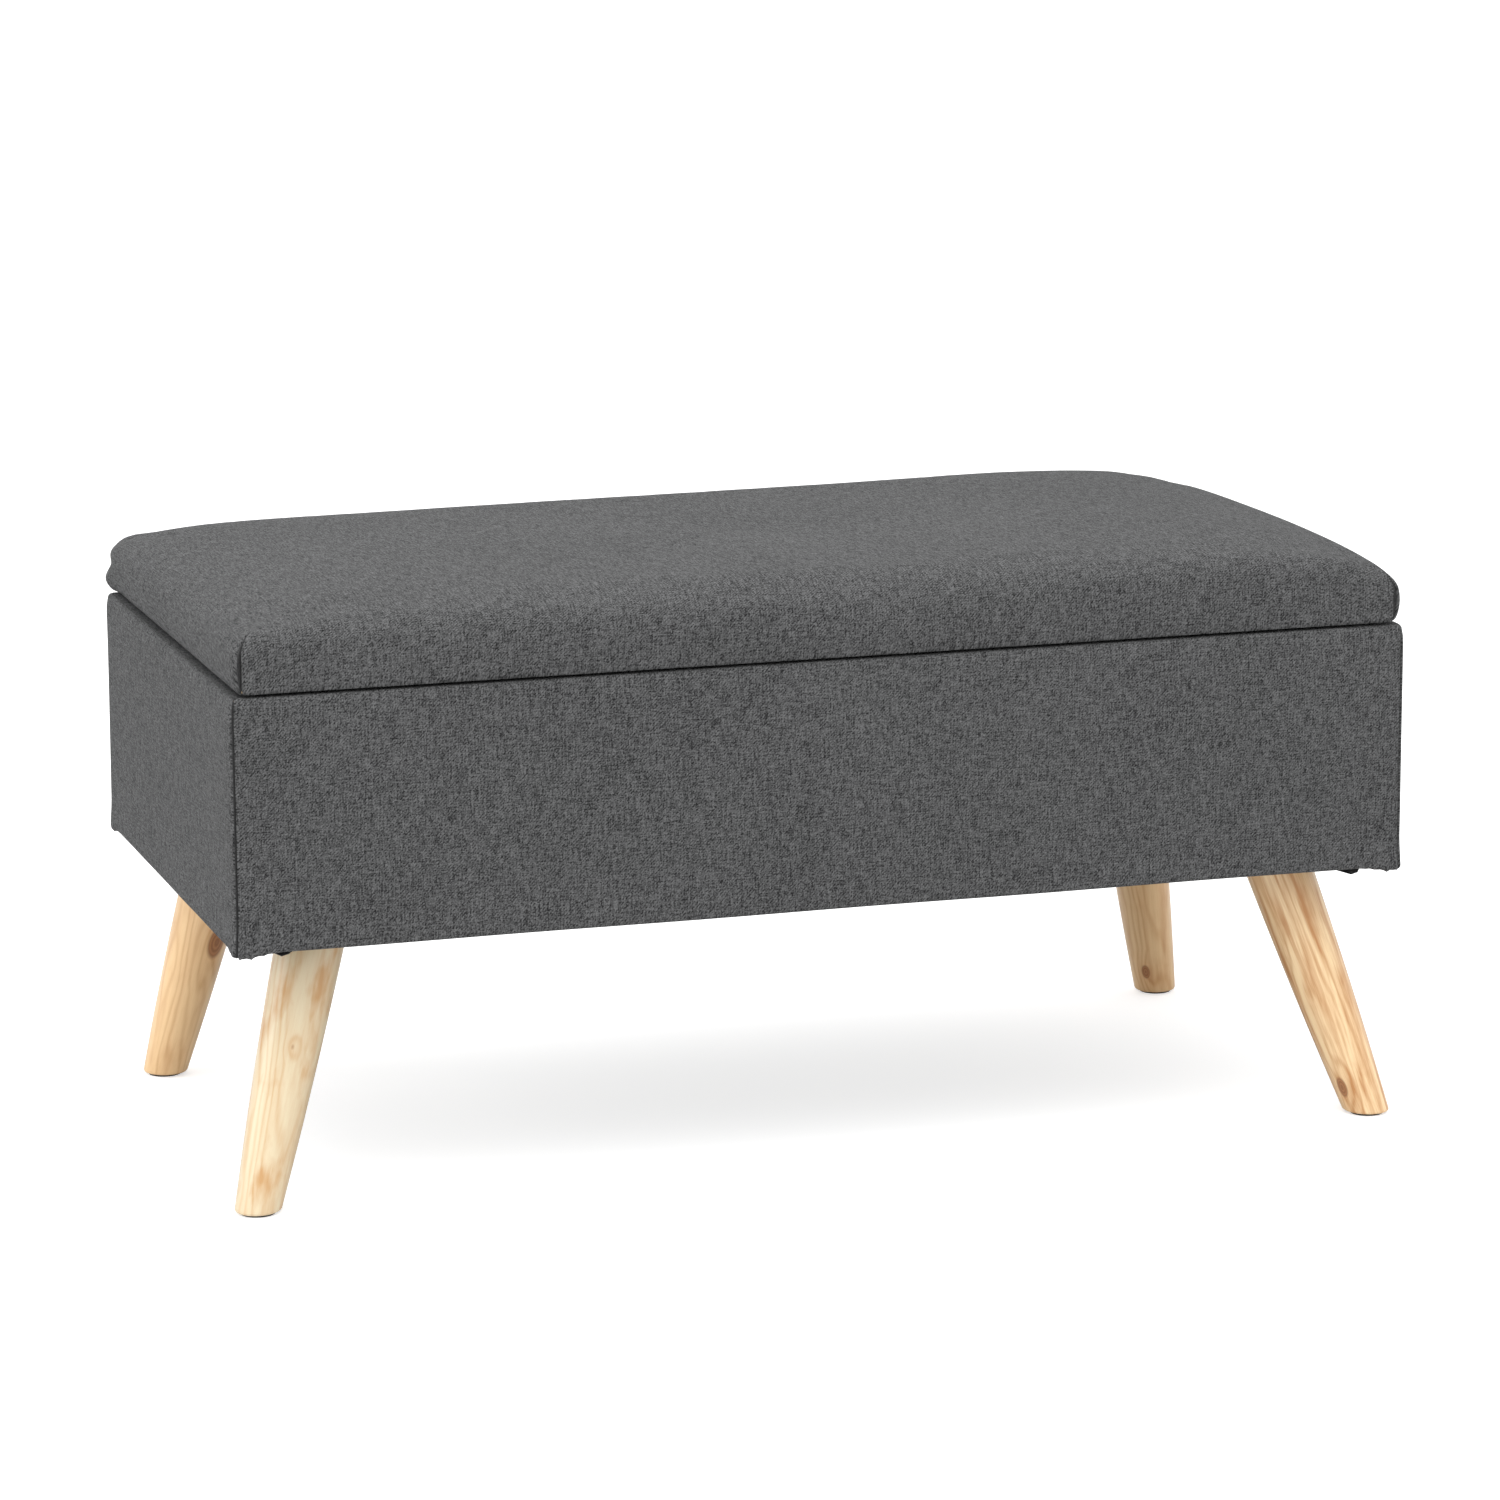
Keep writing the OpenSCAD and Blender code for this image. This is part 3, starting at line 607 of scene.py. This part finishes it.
class BENCH_OT_box_cover(bpy.types.Operator):
    """Grey cloth pulled over the outside of the box, over its rim and under its bottom edge"""
    bl_idname = "bench.box_cover"
    bl_label = "Box cover"

    def execute(self, context):
        p = context.scene.bench_cloth
        low, high = BOX_LOW, BOX_HIGH
        a, b = (high[0] - low[0]) / 2, (high[1] - low[1]) / 2
        z0, z1 = low[2], high[2]
        line = outline(150, 84, 20)
        # the closed section: in over the rim, down the face, under the edge, and back inside
        t, c, well, face_rings = 1.3 * MM, 3.2 * MM, 17.2 * MM, 30
        bow = np.linspace(0, np.pi / 2, 7)
        inset = np.concatenate([[well, well - 4 * MM, c + 4 * MM], c - c * np.sin(bow),
                                np.zeros(face_rings), c - c * np.cos(bow), [c + 4 * MM, 15 * MM, 28 * MM],
                                [28 * MM, 15 * MM, c, t + 0.6 * MM, t, t, t, t + 0.6 * MM, c, well]])
        face = np.linspace(z1 - c, z0 + c, face_rings + 2)[1:-1]
        height = np.concatenate([[z1, z1, z1], z1 - c + c * np.cos(bow), face,
                                 z0 + c - c * np.sin(bow), [z0, z0, z0],
                                 [z0 + t, z0 + t, z0 + t, z0 + t + 0.5 * MM, z0 + c, (z0 + z1) / 2, z1 - c,
                                  z1 - t - 0.5 * MM, z1 - t, z1 - t]])
        r = np.maximum(p.corner - inset, 2 * MM)
        points = rings(a - inset, b - inset, r, height, line)
        _, turn, side, fold = line
        # the rings from the rim to the hem show, and only they are shaped
        outer = np.zeros(len(inset))
        outer[2:4 + face_rings + 2 * len(bow)] = 1
        x, y, z = points[..., 0], points[..., 1], points[..., 2]
        # the stretched face waves a little, and less towards the pulled edges
        mid = step(z0, z0 + 50 * MM, z) * step(z1, z1 - 45 * MM, z)
        wave = p.slack * ripple(x, y, z * 0.6, 5) * (0.35 + 0.65 * mid)
        # upright tension lines beside the corners, and a pinched seam in each corner
        near = np.minimum(a - np.abs(x), 1) + np.minimum(b - np.abs(y), 1)
        lines = 0.22 * MM * np.sin(near * 420 + 3 * z) * np.exp(-near / 0.03)
        seam = np.exp(-(fold / 0.10) ** 2)[None, :] * np.ones_like(z)
        lips = np.exp(-((fold - 0.30) / 0.14) ** 2)[None, :] * np.ones_like(z)
        loose = np.where(side > 0.5, 0.8 * MM, 1.6 * MM)[None, :] * step(z1, z1 - 12 * MM, z)
        out = loose + wave + lines - 1.1 * MM * seam + 0.35 * MM * lips
        out = out * outer[:, None]
        points[..., 0] += turn[None, :, 0] * out
        points[..., 1] += turn[None, :, 1] * out
        # folded cloth hangs a little lower and thicker at the bottom corners
        corner = np.exp(-((a - 5 * MM - np.abs(x)) ** 2 + (b - np.abs(y)) ** 2) / (17 * MM) ** 2)
        sag = corner * step(z0 + 22 * MM, z0, z)
        bumpy = 1 + 0.5 * np.sin(x * 700 + 1.3) * np.sin(y * 650)
        points[..., 2] -= 3.2 * MM * sag * bumpy + 2.2 * MM * step(z0 + 25 * MM, z0, z) * outer[:, None]
        points[..., 0] += turn[None, :, 0] * 1.6 * MM * sag * outer[:, None]
        points[..., 1] += turn[None, :, 1] * 1.6 * MM * sag * outer[:, None]
        # a shallow wave along the bottom edge where it is stapled
        points[..., 2] += 0.25 * MM * np.sin(x * 23 + 0.8) * np.sin(y * 47 + 0.5) * step(z0 + 8 * MM, z0, z)
        points[..., 1] += MID_Y
        # place on the cloth: across and up on each face
        across = np.where(side[None, :] > 0.5, x, y + 2.0)
        down = np.concatenate([[0], np.cumsum(np.hypot(np.diff(inset), np.diff(height)))])
        spots = np.stack([across, -down[:, None] * np.ones_like(x), np.zeros_like(x)], axis=2)
        # the pinched seams also mark where the cloth gets painted shade in the corner creases
        seam_shade = seam * outer[:, None]
        piece = skin("box_cover_cloth", points[::-1], loop=True, spots=spots[::-1], seam_shade=seam_shade[::-1])
        finish_piece(piece, twill(), "box", "grey_fabric", "body_cover")
        return {"FINISHED"}


class BENCH_OT_lid_cushion(bpy.types.Operator):
    """Padded top of the lid: grey cloth over foam, crowned, with sewn corners"""
    bl_idname = "bench.lid_cushion"
    bl_label = "Lid cushion"

    def execute(self, context):
        p, c = context.scene.bench_lid, context.scene.bench_cloth
        low, high = LID_LOW, LID_HIGH
        a, b = (high[0] - low[0]) / 2, (high[1] - low[1]) / 2
        z0, thick = low[2], high[2] - low[2]
        line = outline(150, 84, 20)
        q, turn, side, fold = line
        # rings: out over the underside, up the side, round the edge, in over the top
        counts = under_n, wall_n, edge_n, top_n = 9, 18, 12, 56
        under = np.linspace(0.1, 0.98, under_n)
        wall = np.linspace(0, 1, wall_n)
        bow = np.linspace(0, np.pi / 2, edge_n + 1)[1:]
        top = 1 - np.linspace(0, 1, top_n + 2)[1:-1] ** 1.15

        def stretches(*values):
            """A value for every ring, given as a number or an array for each of the four stretches."""
            return np.concatenate([np.full(n, v) if np.isscalar(v) else v for n, v in zip(counts, values)])

        e = p.edge
        inset = stretches(0.0, 0.0, e - e * np.cos(bow), e)
        scale = stretches(under, 1.0, 1.0, top)
        radius = np.maximum(c.corner - 0.55 * inset, 3.5 * MM) * scale
        points = rings((a - inset) * scale, (b - inset) * scale, radius, np.zeros(len(inset)), line)
        x, y = points[..., 0], points[..., 1]
        # height of the finished top over any spot, highest in the middle
        u, v = np.abs(x) / a, np.abs(y) / b
        crown = thick - 1.0 * MM - p.fall_end * np.where(x < 0, 0.7, 1.0) * u ** 8 - p.fall_front * v ** 4
        # the foam is a little higher towards the right
        crown = crown + 5.6 * MM * step(0.05, 0.30, x) * (1 - step(0.38, 0.47, x))
        # the pad starts lower and smaller than it ends, because it is filled out below
        filling = p.fill
        crown = crown - filling * (1 - u ** 2.5) * (1 - v ** 3)
        shoulder = e * 0.82
        k_wall = stretches(0.0, wall, 1.0, 1.0)[:, None]
        k_bow = stretches(0.0, 0.0, np.sin(bow), 1.0)[:, None]
        z = k_wall * (crown - shoulder) + k_bow * shoulder
        # pulled-in bottom edge
        tuck = stretches(0.0, 1.8 * MM * np.exp(-wall * 14), 0.0, 0.0)[:, None]
        # the sides swell between the corners, and the middle of the top is a little uneven
        along = np.where(side > 0.5, q[:, 0], q[:, 1])[None, :]
        belly = np.sin(np.pi * np.clip(k_wall * 0.72 + k_bow * 0.28, 0, 1)) ** 0.8
        swell = belly * np.where(side[None, :] > 0.5, p.bulge * (1 - np.abs(along) ** 6),
                                 p.end_bulge * (1 - 0.35 * np.abs(along) ** 4) * np.abs(turn[None, :, 0]))
        sewn = stretches(0.0, 1.0, np.linspace(1, 0, edge_n) ** 0.6, 0.0)[:, None]
        seam = np.exp(-(fold / 0.10) ** 2)[None, :] * sewn
        lips = np.exp(-((fold - 0.32) / 0.15) ** 2)[None, :] * (seam.max(axis=1)[:, None] > 0)
        near = np.hypot(a - np.abs(x), b - np.abs(y))
        pulls = 0.7 * MM * np.sin(np.arctan2(b - np.abs(y), a - np.abs(x)) * 9 + 1) * np.exp(-near / 0.05)
        # folded cloth makes a soft lump low on the rear corners, more on the left
        rear = np.exp(-((a - np.abs(x)) ** 2 + (b - y) ** 2) / (15 * MM) ** 2)
        more = np.where(x < 0, 1.0, 0.55)
        lump = p.corner_fold * more * rear * np.exp(-((z - 8 * MM) / (8 * MM)) ** 2) * k_wall ** 0.15
        pinch = 2.2 * MM * more * rear * np.exp(-((z - 22 * MM) / (5 * MM)) ** 2)
        out = swell - tuck - 1.0 * MM * seam + 0.35 * MM * lips + lump - pinch
        out = out + c.slack * 0.7 * ripple(x, y, z, 11) * (k_wall > 0)
        points[..., 0] += turn[None, :, 0] * out * (scale[:, None] > 0.9999)
        points[..., 1] += turn[None, :, 1] * out * (scale[:, None] > 0.9999)
        flat_top = stretches(0.0, 0.0, np.linspace(0, 1, edge_n), 1.0)[:, None]
        z = z + flat_top * (0.8 * MM * ripple(x * 0.55, y * 0.55, 0 * x, 21) - 0.8 * MM + pulls)
        points[..., 2] = z0 + np.minimum(z, thick + 6 * MM)
        # the folds at the rear corners hang down to the box
        points[..., 2] -= 1.7 * MM * more * rear * step(12 * MM, 0, z)
        drop = (crown - z) * (scale[:, None] > 0.9999)
        # place on the cloth: the top's own x and y, running on down the four sides
        sx = np.where(side[None, :] < 0.5, np.sign(x), 0) * drop
        sy = np.where(side[None, :] > 0.5, np.sign(y), 0) * drop
        points[..., 1] += MID_Y
        spots = np.stack([x + sx, y + sy, np.zeros_like(x)], axis=2)
        first, last = [0, MID_Y, z0], [0, MID_Y, float(points[-1, :, 2].mean())]
        # the sewn seams carry the mask of painted shade along the corner creases
        piece = skin("lid_cushion", points, first, last, spots=spots, seam_shade=seam)
        if filling:
            move = fill_out(piece.data, z0 + 3 * MM, 0.30, 6 * MM, 2 * filling)
            co = np.empty(move.size)
            piece.data.vertices.foreach_get("co", co)
            piece.data.vertices.foreach_set("co", co + move.ravel())
            piece.data.update()
        finish_piece(piece, twill(), "lid", "grey_fabric", "lid_cover", "lid_foam")
        return {"FINISHED"}


class BENCH_OT_linings(bpy.types.Operator):
    """Black cloth inside the box, under the lid and across the underside"""
    bl_idname = "bench.linings"
    bl_label = "Linings and dust cover"

    def execute(self, context):
        inner = felted_cloth("well lining", (0.022, 0.022, 0.024), (0.05, 0.05, 0.052))
        black = felted_cloth("black dust cloth", (0.009, 0.009, 0.010), (0.022, 0.022, 0.023))
        line = outline(90, 50, 8)
        # lining of the well: down the walls, round the bottom corner and in over the floor
        low, high = cad("storage_lining")
        a, b = (high[0] - low[0]) / 2, (high[1] - low[1]) / 2
        t, c = 0.8 * MM, 7 * MM
        bow = np.linspace(0, np.pi / 2, 6)
        zf = low[2] + t
        inset = np.concatenate([np.full(14, t), t + c - c * np.cos(bow), np.full(9, t + c)])
        down = np.linspace(high[2], zf + c, 15)[:-1]
        height = np.concatenate([down, zf + c - c * np.sin(bow), np.full(9, zf)])
        scale = np.concatenate([np.ones(20), np.linspace(1, 0.1, 9)])
        wall = rings((a - inset) * scale, (b - inset) * scale, np.full(29, 3 * MM) * scale, height, line)
        x, y, z = wall[..., 0], wall[..., 1], wall[..., 2]
        slackness = 0.5 * MM * (ripple(x, y, z, 3) + 1.2) * step(high[2], high[2] - 30 * MM, z)
        wall[..., 0] -= np.sign(x) * slackness * (np.abs(x) > a - 20 * MM)
        wall[..., 1] -= np.sign(y) * slackness * (np.abs(y) > b - 20 * MM)
        wall[..., 2] += 0.6 * MM * (ripple(x, y, 0 * z, 4) + 1.4) * (scale < 1)[:, None]
        back = rings([a, a, a * 0.5, a * 0.1], [b, b, b * 0.5, b * 0.1], np.full(4, 2 * MM),
                     [high[2], low[2], low[2], low[2]], line)
        shell = np.concatenate([back[::-1], wall])
        shell[..., 1] += (low[1] + high[1]) / 2
        mid = (low[1] + high[1]) / 2
        piece = skin("well_lining", shell, [0, mid, low[2]], [0, mid, zf + 1 * MM])
        finish_piece(piece, inner, "box", "lining_cloth", "storage_lining")
        # the two flat sheets: stapled round the edge, so the middle hangs a little and pulls in folds
        for name, node, body, drop in (("underside_dust_cloth", "dust_cover", "box", 3.5 * MM),
                                       ("lid_lining_cloth", "lid_lining", "lid", 0.6 * MM)):
            low, high = cad(node)
            a, b = (high[0] - low[0]) / 2, (high[1] - low[1]) / 2
            s = np.linspace(1, 0.06, 22)
            down = rings(a * s, b * s, np.maximum(6 * MM * s, 1 * MM), np.full(22, low[2]), line)
            x, y = down[..., 0], down[..., 1]
            edge = np.minimum(a - np.abs(x), b - np.abs(y))
            inward = step(0, 0.10, edge)
            folds = 0.35 * MM * np.sin(np.where(line[2][None, :] > 0.5, x, y) * 95) * np.exp(-edge / 0.03)
            top = down.copy()
            down[..., 2] += -drop * inward + folds * (edge > 1 * MM)
            down[..., 2] -= 0.3 * MM * inward * ripple(x, y, 0 * x, 8)
            top[..., 2] = down[..., 2] + (high[2] - low[2])
            if node == "dust_cover":
                # loose bits of the edge peep out under the front corners
                scrap = np.exp(-((np.abs(x) - a + 19 * MM) / (9 * MM)) ** 4)
                peep = scrap * (y < 0) * np.exp(-edge / (9 * MM))
                for layer in (down, top):
                    layer[..., 1] -= 16 * MM * peep
                    layer[..., 2] -= 4.6 * MM * peep * (1 + 0.3 * np.sin(x * 900))
            mid = (low[1] + high[1]) / 2
            both = np.concatenate([top[::-1], down])
            both[..., 1] += mid
            piece = skin(name, both, [0, mid, both[0, 0, 2]], [0, mid, both[-1, 0, 2]])
            finish_piece(piece, black, body, "black_cloth", node)
        return {"FINISHED"}


LEG_LOOKS = {
    # heart line, knot, knot size, streaks, patches, pale, warm
    "leg_front_left": ((0.034, -0.03, 0), (0.004, 0.021, 0.122), 0.0024, 0.26, 0.75, (0.77, 0.65, 0.44),
                       (0.60, 0.34, 0.14)),
    "leg_front_right": ((-0.03, 0.05, 0), (0.016, 0.0105, 0.024), 0.0048, 0.85, 0.25, (0.97, 0.72, 0.42),
                        (0.55, 0.25, 0.08)),
    "leg_rear_left": ((0.06, 0.03, 0), (-0.0090, 0.0200, 0.128), 0.0085, 0.22, 0.25, (0.90, 0.62, 0.33),
                      (0.60, 0.31, 0.12)),
    "leg_rear_right": ((0.04, -0.05, 0), (0.011, 0.0135, 0.027), 0.0040, 0.42, 0.3, (0.80, 0.55, 0.29),
                       (0.55, 0.27, 0.10)),
}


class BENCH_OT_legs(bpy.types.Operator):
    """Four turned legs: level ellipses carried along a sloping line, with rounded feet"""
    bl_idname = "bench.legs"
    bl_label = "Legs"

    def execute(self, context):
        p = context.scene.bench_wood
        for name, (heart, knot, size, streaks, patches, pale, warm) in LEG_LOOKS.items():
            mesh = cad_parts[name].data
            co = np.empty(len(mesh.vertices) * 3)
            mesh.vertices.foreach_get("co", co)
            co = co.reshape(-1, 3)
            z0, z1 = co[:, 2].min(), co[:, 2].max()
            ends = []
            for z in (z0, z1):
                rim = co[np.abs(co[:, 2] - z) < 0.02 * MM]
                low, high = rim.min(axis=0), rim.max(axis=0)
                ends.append(((low + high) / 2, (high - low) / 2))
            (foot, foot_half), (top, top_half) = ends
            axis = (top - foot) / np.linalg.norm(top - foot)
            lean = np.array([axis[0], axis[1], 0])
            lean = lean / np.linalg.norm(lean)
            cross = np.cross([0, 0, 1], lean)
            slope = axis[2]
            # radius square to the axis: the foot's and the top's, with a slight swell between
            r_foot = np.sqrt((foot_half[0] ** 2 + foot_half[1] ** 2) / (1 + 1 / slope ** 2))
            r_top = np.sqrt((top_half[0] ** 2 + top_half[1] ** 2) / (1 + 1 / slope ** 2))
            rows = 96
            bow = np.linspace(0, np.pi / 2, 7)
            e = p.foot_edge
            k = np.concatenate([(e - e * np.cos(bow)) / (z1 - z0),
                                np.linspace(e / (z1 - z0), 1 - 1 * MM / (z1 - z0), rows)[1:], [1.0]])
            r = r_foot + (r_top - r_foot) * k + 1.2 * MM * 4 * k * (1 - k)
            r[:7] -= e - e * np.sin(bow)
            r[-1] -= 0.6 * MM
            angle = np.linspace(0, 2 * np.pi, 97)[:-1]
            centre = foot[None, :] + (top - foot)[None, :] * k[:, None]
            ring = (lean[None, :] * np.cos(angle)[:, None] / slope + cross[None, :] * np.sin(angle)[:, None])
            points = centre[:, None, :] + ring[None, :, :] * r[:, None, None]
            # place in the leg's own frame: side, front and along
            side = np.cross(axis, [0, 1, 0])
            side = side / np.linalg.norm(side)
            front = np.cross(axis, side)
            rel = points - foot
            spots = np.stack([rel @ side, rel @ front, rel @ axis], axis=2)
            piece = skin(name + "_turned", points, foot, top, spots=spots)
            wood = leg_wood(name + " wood", heart, knot, size, streaks, patches, pale, warm)
            finish_piece(piece, wood, "box", name + "_wood", name)
        return {"FINISHED"}


class BENCH_OT_fittings(bpy.types.Operator):
    """Hinges, stays, screws, staples and the wooden frame keep their shapes and get their finishes"""
    bl_idname = "bench.fittings"
    bl_label = "Fittings and frame"

    def execute(self, context):
        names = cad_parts.keys()
        zinc = plated("zinc plated steel", (0.62, 0.61, 0.58), 0.32)
        wire = plated("fastener steel", (0.50, 0.50, 0.50), 0.38)
        repaint(zinc, *[n for n in names if n.startswith(("hinge_", "stay_"))])
        repaint(wire, *[n for n in names if n.endswith(("staples", "bolts", "tee_nuts", "panel_screws"))])
        repaint(board("chipboard", (0.62, 0.47, 0.29), (0.36, 0.23, 0.12), True),
                "front_panel", "back_panel", "left_panel", "right_panel", "lid_board")
        repaint(board("bottom ply", (0.66, 0.49, 0.30), (0.50, 0.33, 0.17), False), "bottom_panel")
        repaint(board("sawn pine", (0.74, 0.56, 0.34), (0.55, 0.36, 0.17), False),
                *[n for n in names if n.endswith("_rail") or n.startswith("corner_block")])
        repaint(moulded("black plastic", (0.018, 0.018, 0.018)), "foot_glides")
        return {"FINISHED"}


class BENCH_OT_stage(bpy.types.Operator):
    """Pale floor, soft studio light and the camera"""
    bl_idname = "bench.stage"
    bl_label = "Stage"

    def execute(self, context):
        p = context.scene.bench_stage
        scene = context.scene
        half = 14.0
        mesh = bpy.data.meshes.new("floor")
        corners = [(-half, -half, 0), (half, -half, 0), (half, half, 0), (-half, half, 0)]
        mesh.from_pydata(corners, [], [(0, 1, 2, 3)])
        floor = bpy.data.objects.new("floor", mesh)
        scene.collection.objects.link(floor)
        material, w, shader = new_material("pale floor")
        shader.inputs["Base Color"].default_value = (*p.floor, 1)
        shader.inputs["Roughness"].default_value = 0.9
        shader.inputs["Specular IOR Level"].default_value = 0.1
        seen = w.add("ShaderNodeLightPath").outputs["Is Camera Ray"]
        put(w, shader, Emission_Color=w.mix(seen, (0, 0, 0, 1), (1, 1, 1, 1)))
        shader.inputs["Emission Strength"].default_value = p.floor_glow
        floor.data.materials.append(material)

        world = bpy.data.worlds.new("studio")
        world.use_nodes = True
        world.node_tree.nodes["Background"].inputs["Color"].default_value = (1, 1, 1, 1)
        world.node_tree.nodes["Background"].inputs["Strength"].default_value = p.sky
        scene.world = world
        scene.view_settings.view_transform = "Standard"

        def lamp(name, spot, aim, size, power):
            data = bpy.data.lights.new(name, "AREA")
            data.shape, data.size, data.energy = "SQUARE", size, power
            piece = bpy.data.objects.new(name, data)
            piece.matrix_world = (Matrix.Translation(spot) @
                                  (Vector(aim) - Vector(spot)).to_track_quat("-Z", "Y").to_matrix().to_4x4())
            scene.collection.objects.link(piece)

        lamp("overhead_softbox", (-0.5, -0.9, 3.0), (0, 0, 0.3), 2.6, p.key)
        lamp("left_softbox", (-3.6, 0.3, 1.6), (0, 0, 0.3), 2.0, p.key * 0.42)

        data = bpy.data.cameras.new("camera")
        data.sensor_width, data.sensor_fit, data.lens = 36.0, "HORIZONTAL", 137.3
        data.clip_end = 60
        camera = bpy.data.objects.new("camera", data)
        yaw, pitch, roll = radians(17.41), radians(-11.89), radians(-0.24)
        ahead = Vector((np.sin(yaw) * np.cos(pitch), np.cos(yaw) * np.cos(pitch), np.sin(pitch)))
        right = ahead.cross(Vector((0, 0, 1))).normalized()
        up = right.cross(ahead)
        r = right * np.cos(roll) + up * np.sin(roll)
        u = up * np.cos(roll) - right * np.sin(roll)
        turn = Matrix((r, u, -ahead)).transposed().to_4x4()
        camera.matrix_world = Matrix.Translation((-1.3128, -4.2020 + MID_Y, 1.2044)) @ turn
        scene.collection.objects.link(camera)
        scene.camera = camera
        return {"FINISHED"}


class BENCH_PT_panel(bpy.types.Panel):
    """Sizes, colours and the steps of the bench"""
    bl_idname = "BENCH_PT_panel"
    bl_label = "Storage bench"
    bl_space_type = "VIEW_3D"
    bl_region_type = "UI"
    bl_category = "Bench"

    def draw(self, context):
        for group in ("bench_cloth", "bench_lid", "bench_wood", "bench_stage"):
            values = getattr(context.scene, group)
            box = self.layout.box()
            box.label(text=type(values).__doc__.split(".")[0])
            for name in values.bl_rna.properties.keys():
                if name not in ("rna_type", "name"):
                    box.prop(values, name)
        for operator in STEPS:
            self.layout.operator(operator.bl_idname)


STEPS = (BENCH_OT_stage, BENCH_OT_box_cover, BENCH_OT_lid_cushion, BENCH_OT_linings, BENCH_OT_legs,
         BENCH_OT_fittings)
GROUPS = {"bench_cloth": BenchCloth, "bench_lid": BenchLid, "bench_wood": BenchWood, "bench_stage": BenchStage}


def register():
    for c in (*GROUPS.values(), *STEPS, BENCH_PT_panel):
        bpy.utils.register_class(c)
    for name, c in GROUPS.items():
        setattr(bpy.types.Scene, name, bpy.props.PointerProperty(type=c))


def unregister():
    for name in GROUPS:
        delattr(bpy.types.Scene, name)
    for c in reversed((*GROUPS.values(), *STEPS, BENCH_PT_panel)):
        bpy.utils.unregister_class(c)


def main():
    register()
    bpy.ops.bench.stage()
    bpy.ops.bench.box_cover()
    bpy.ops.bench.lid_cushion()
    bpy.ops.bench.linings()
    bpy.ops.bench.legs()
    bpy.ops.bench.fittings()
    bpy.context.view_layer.update()


if __name__ == "__main__":
    main()
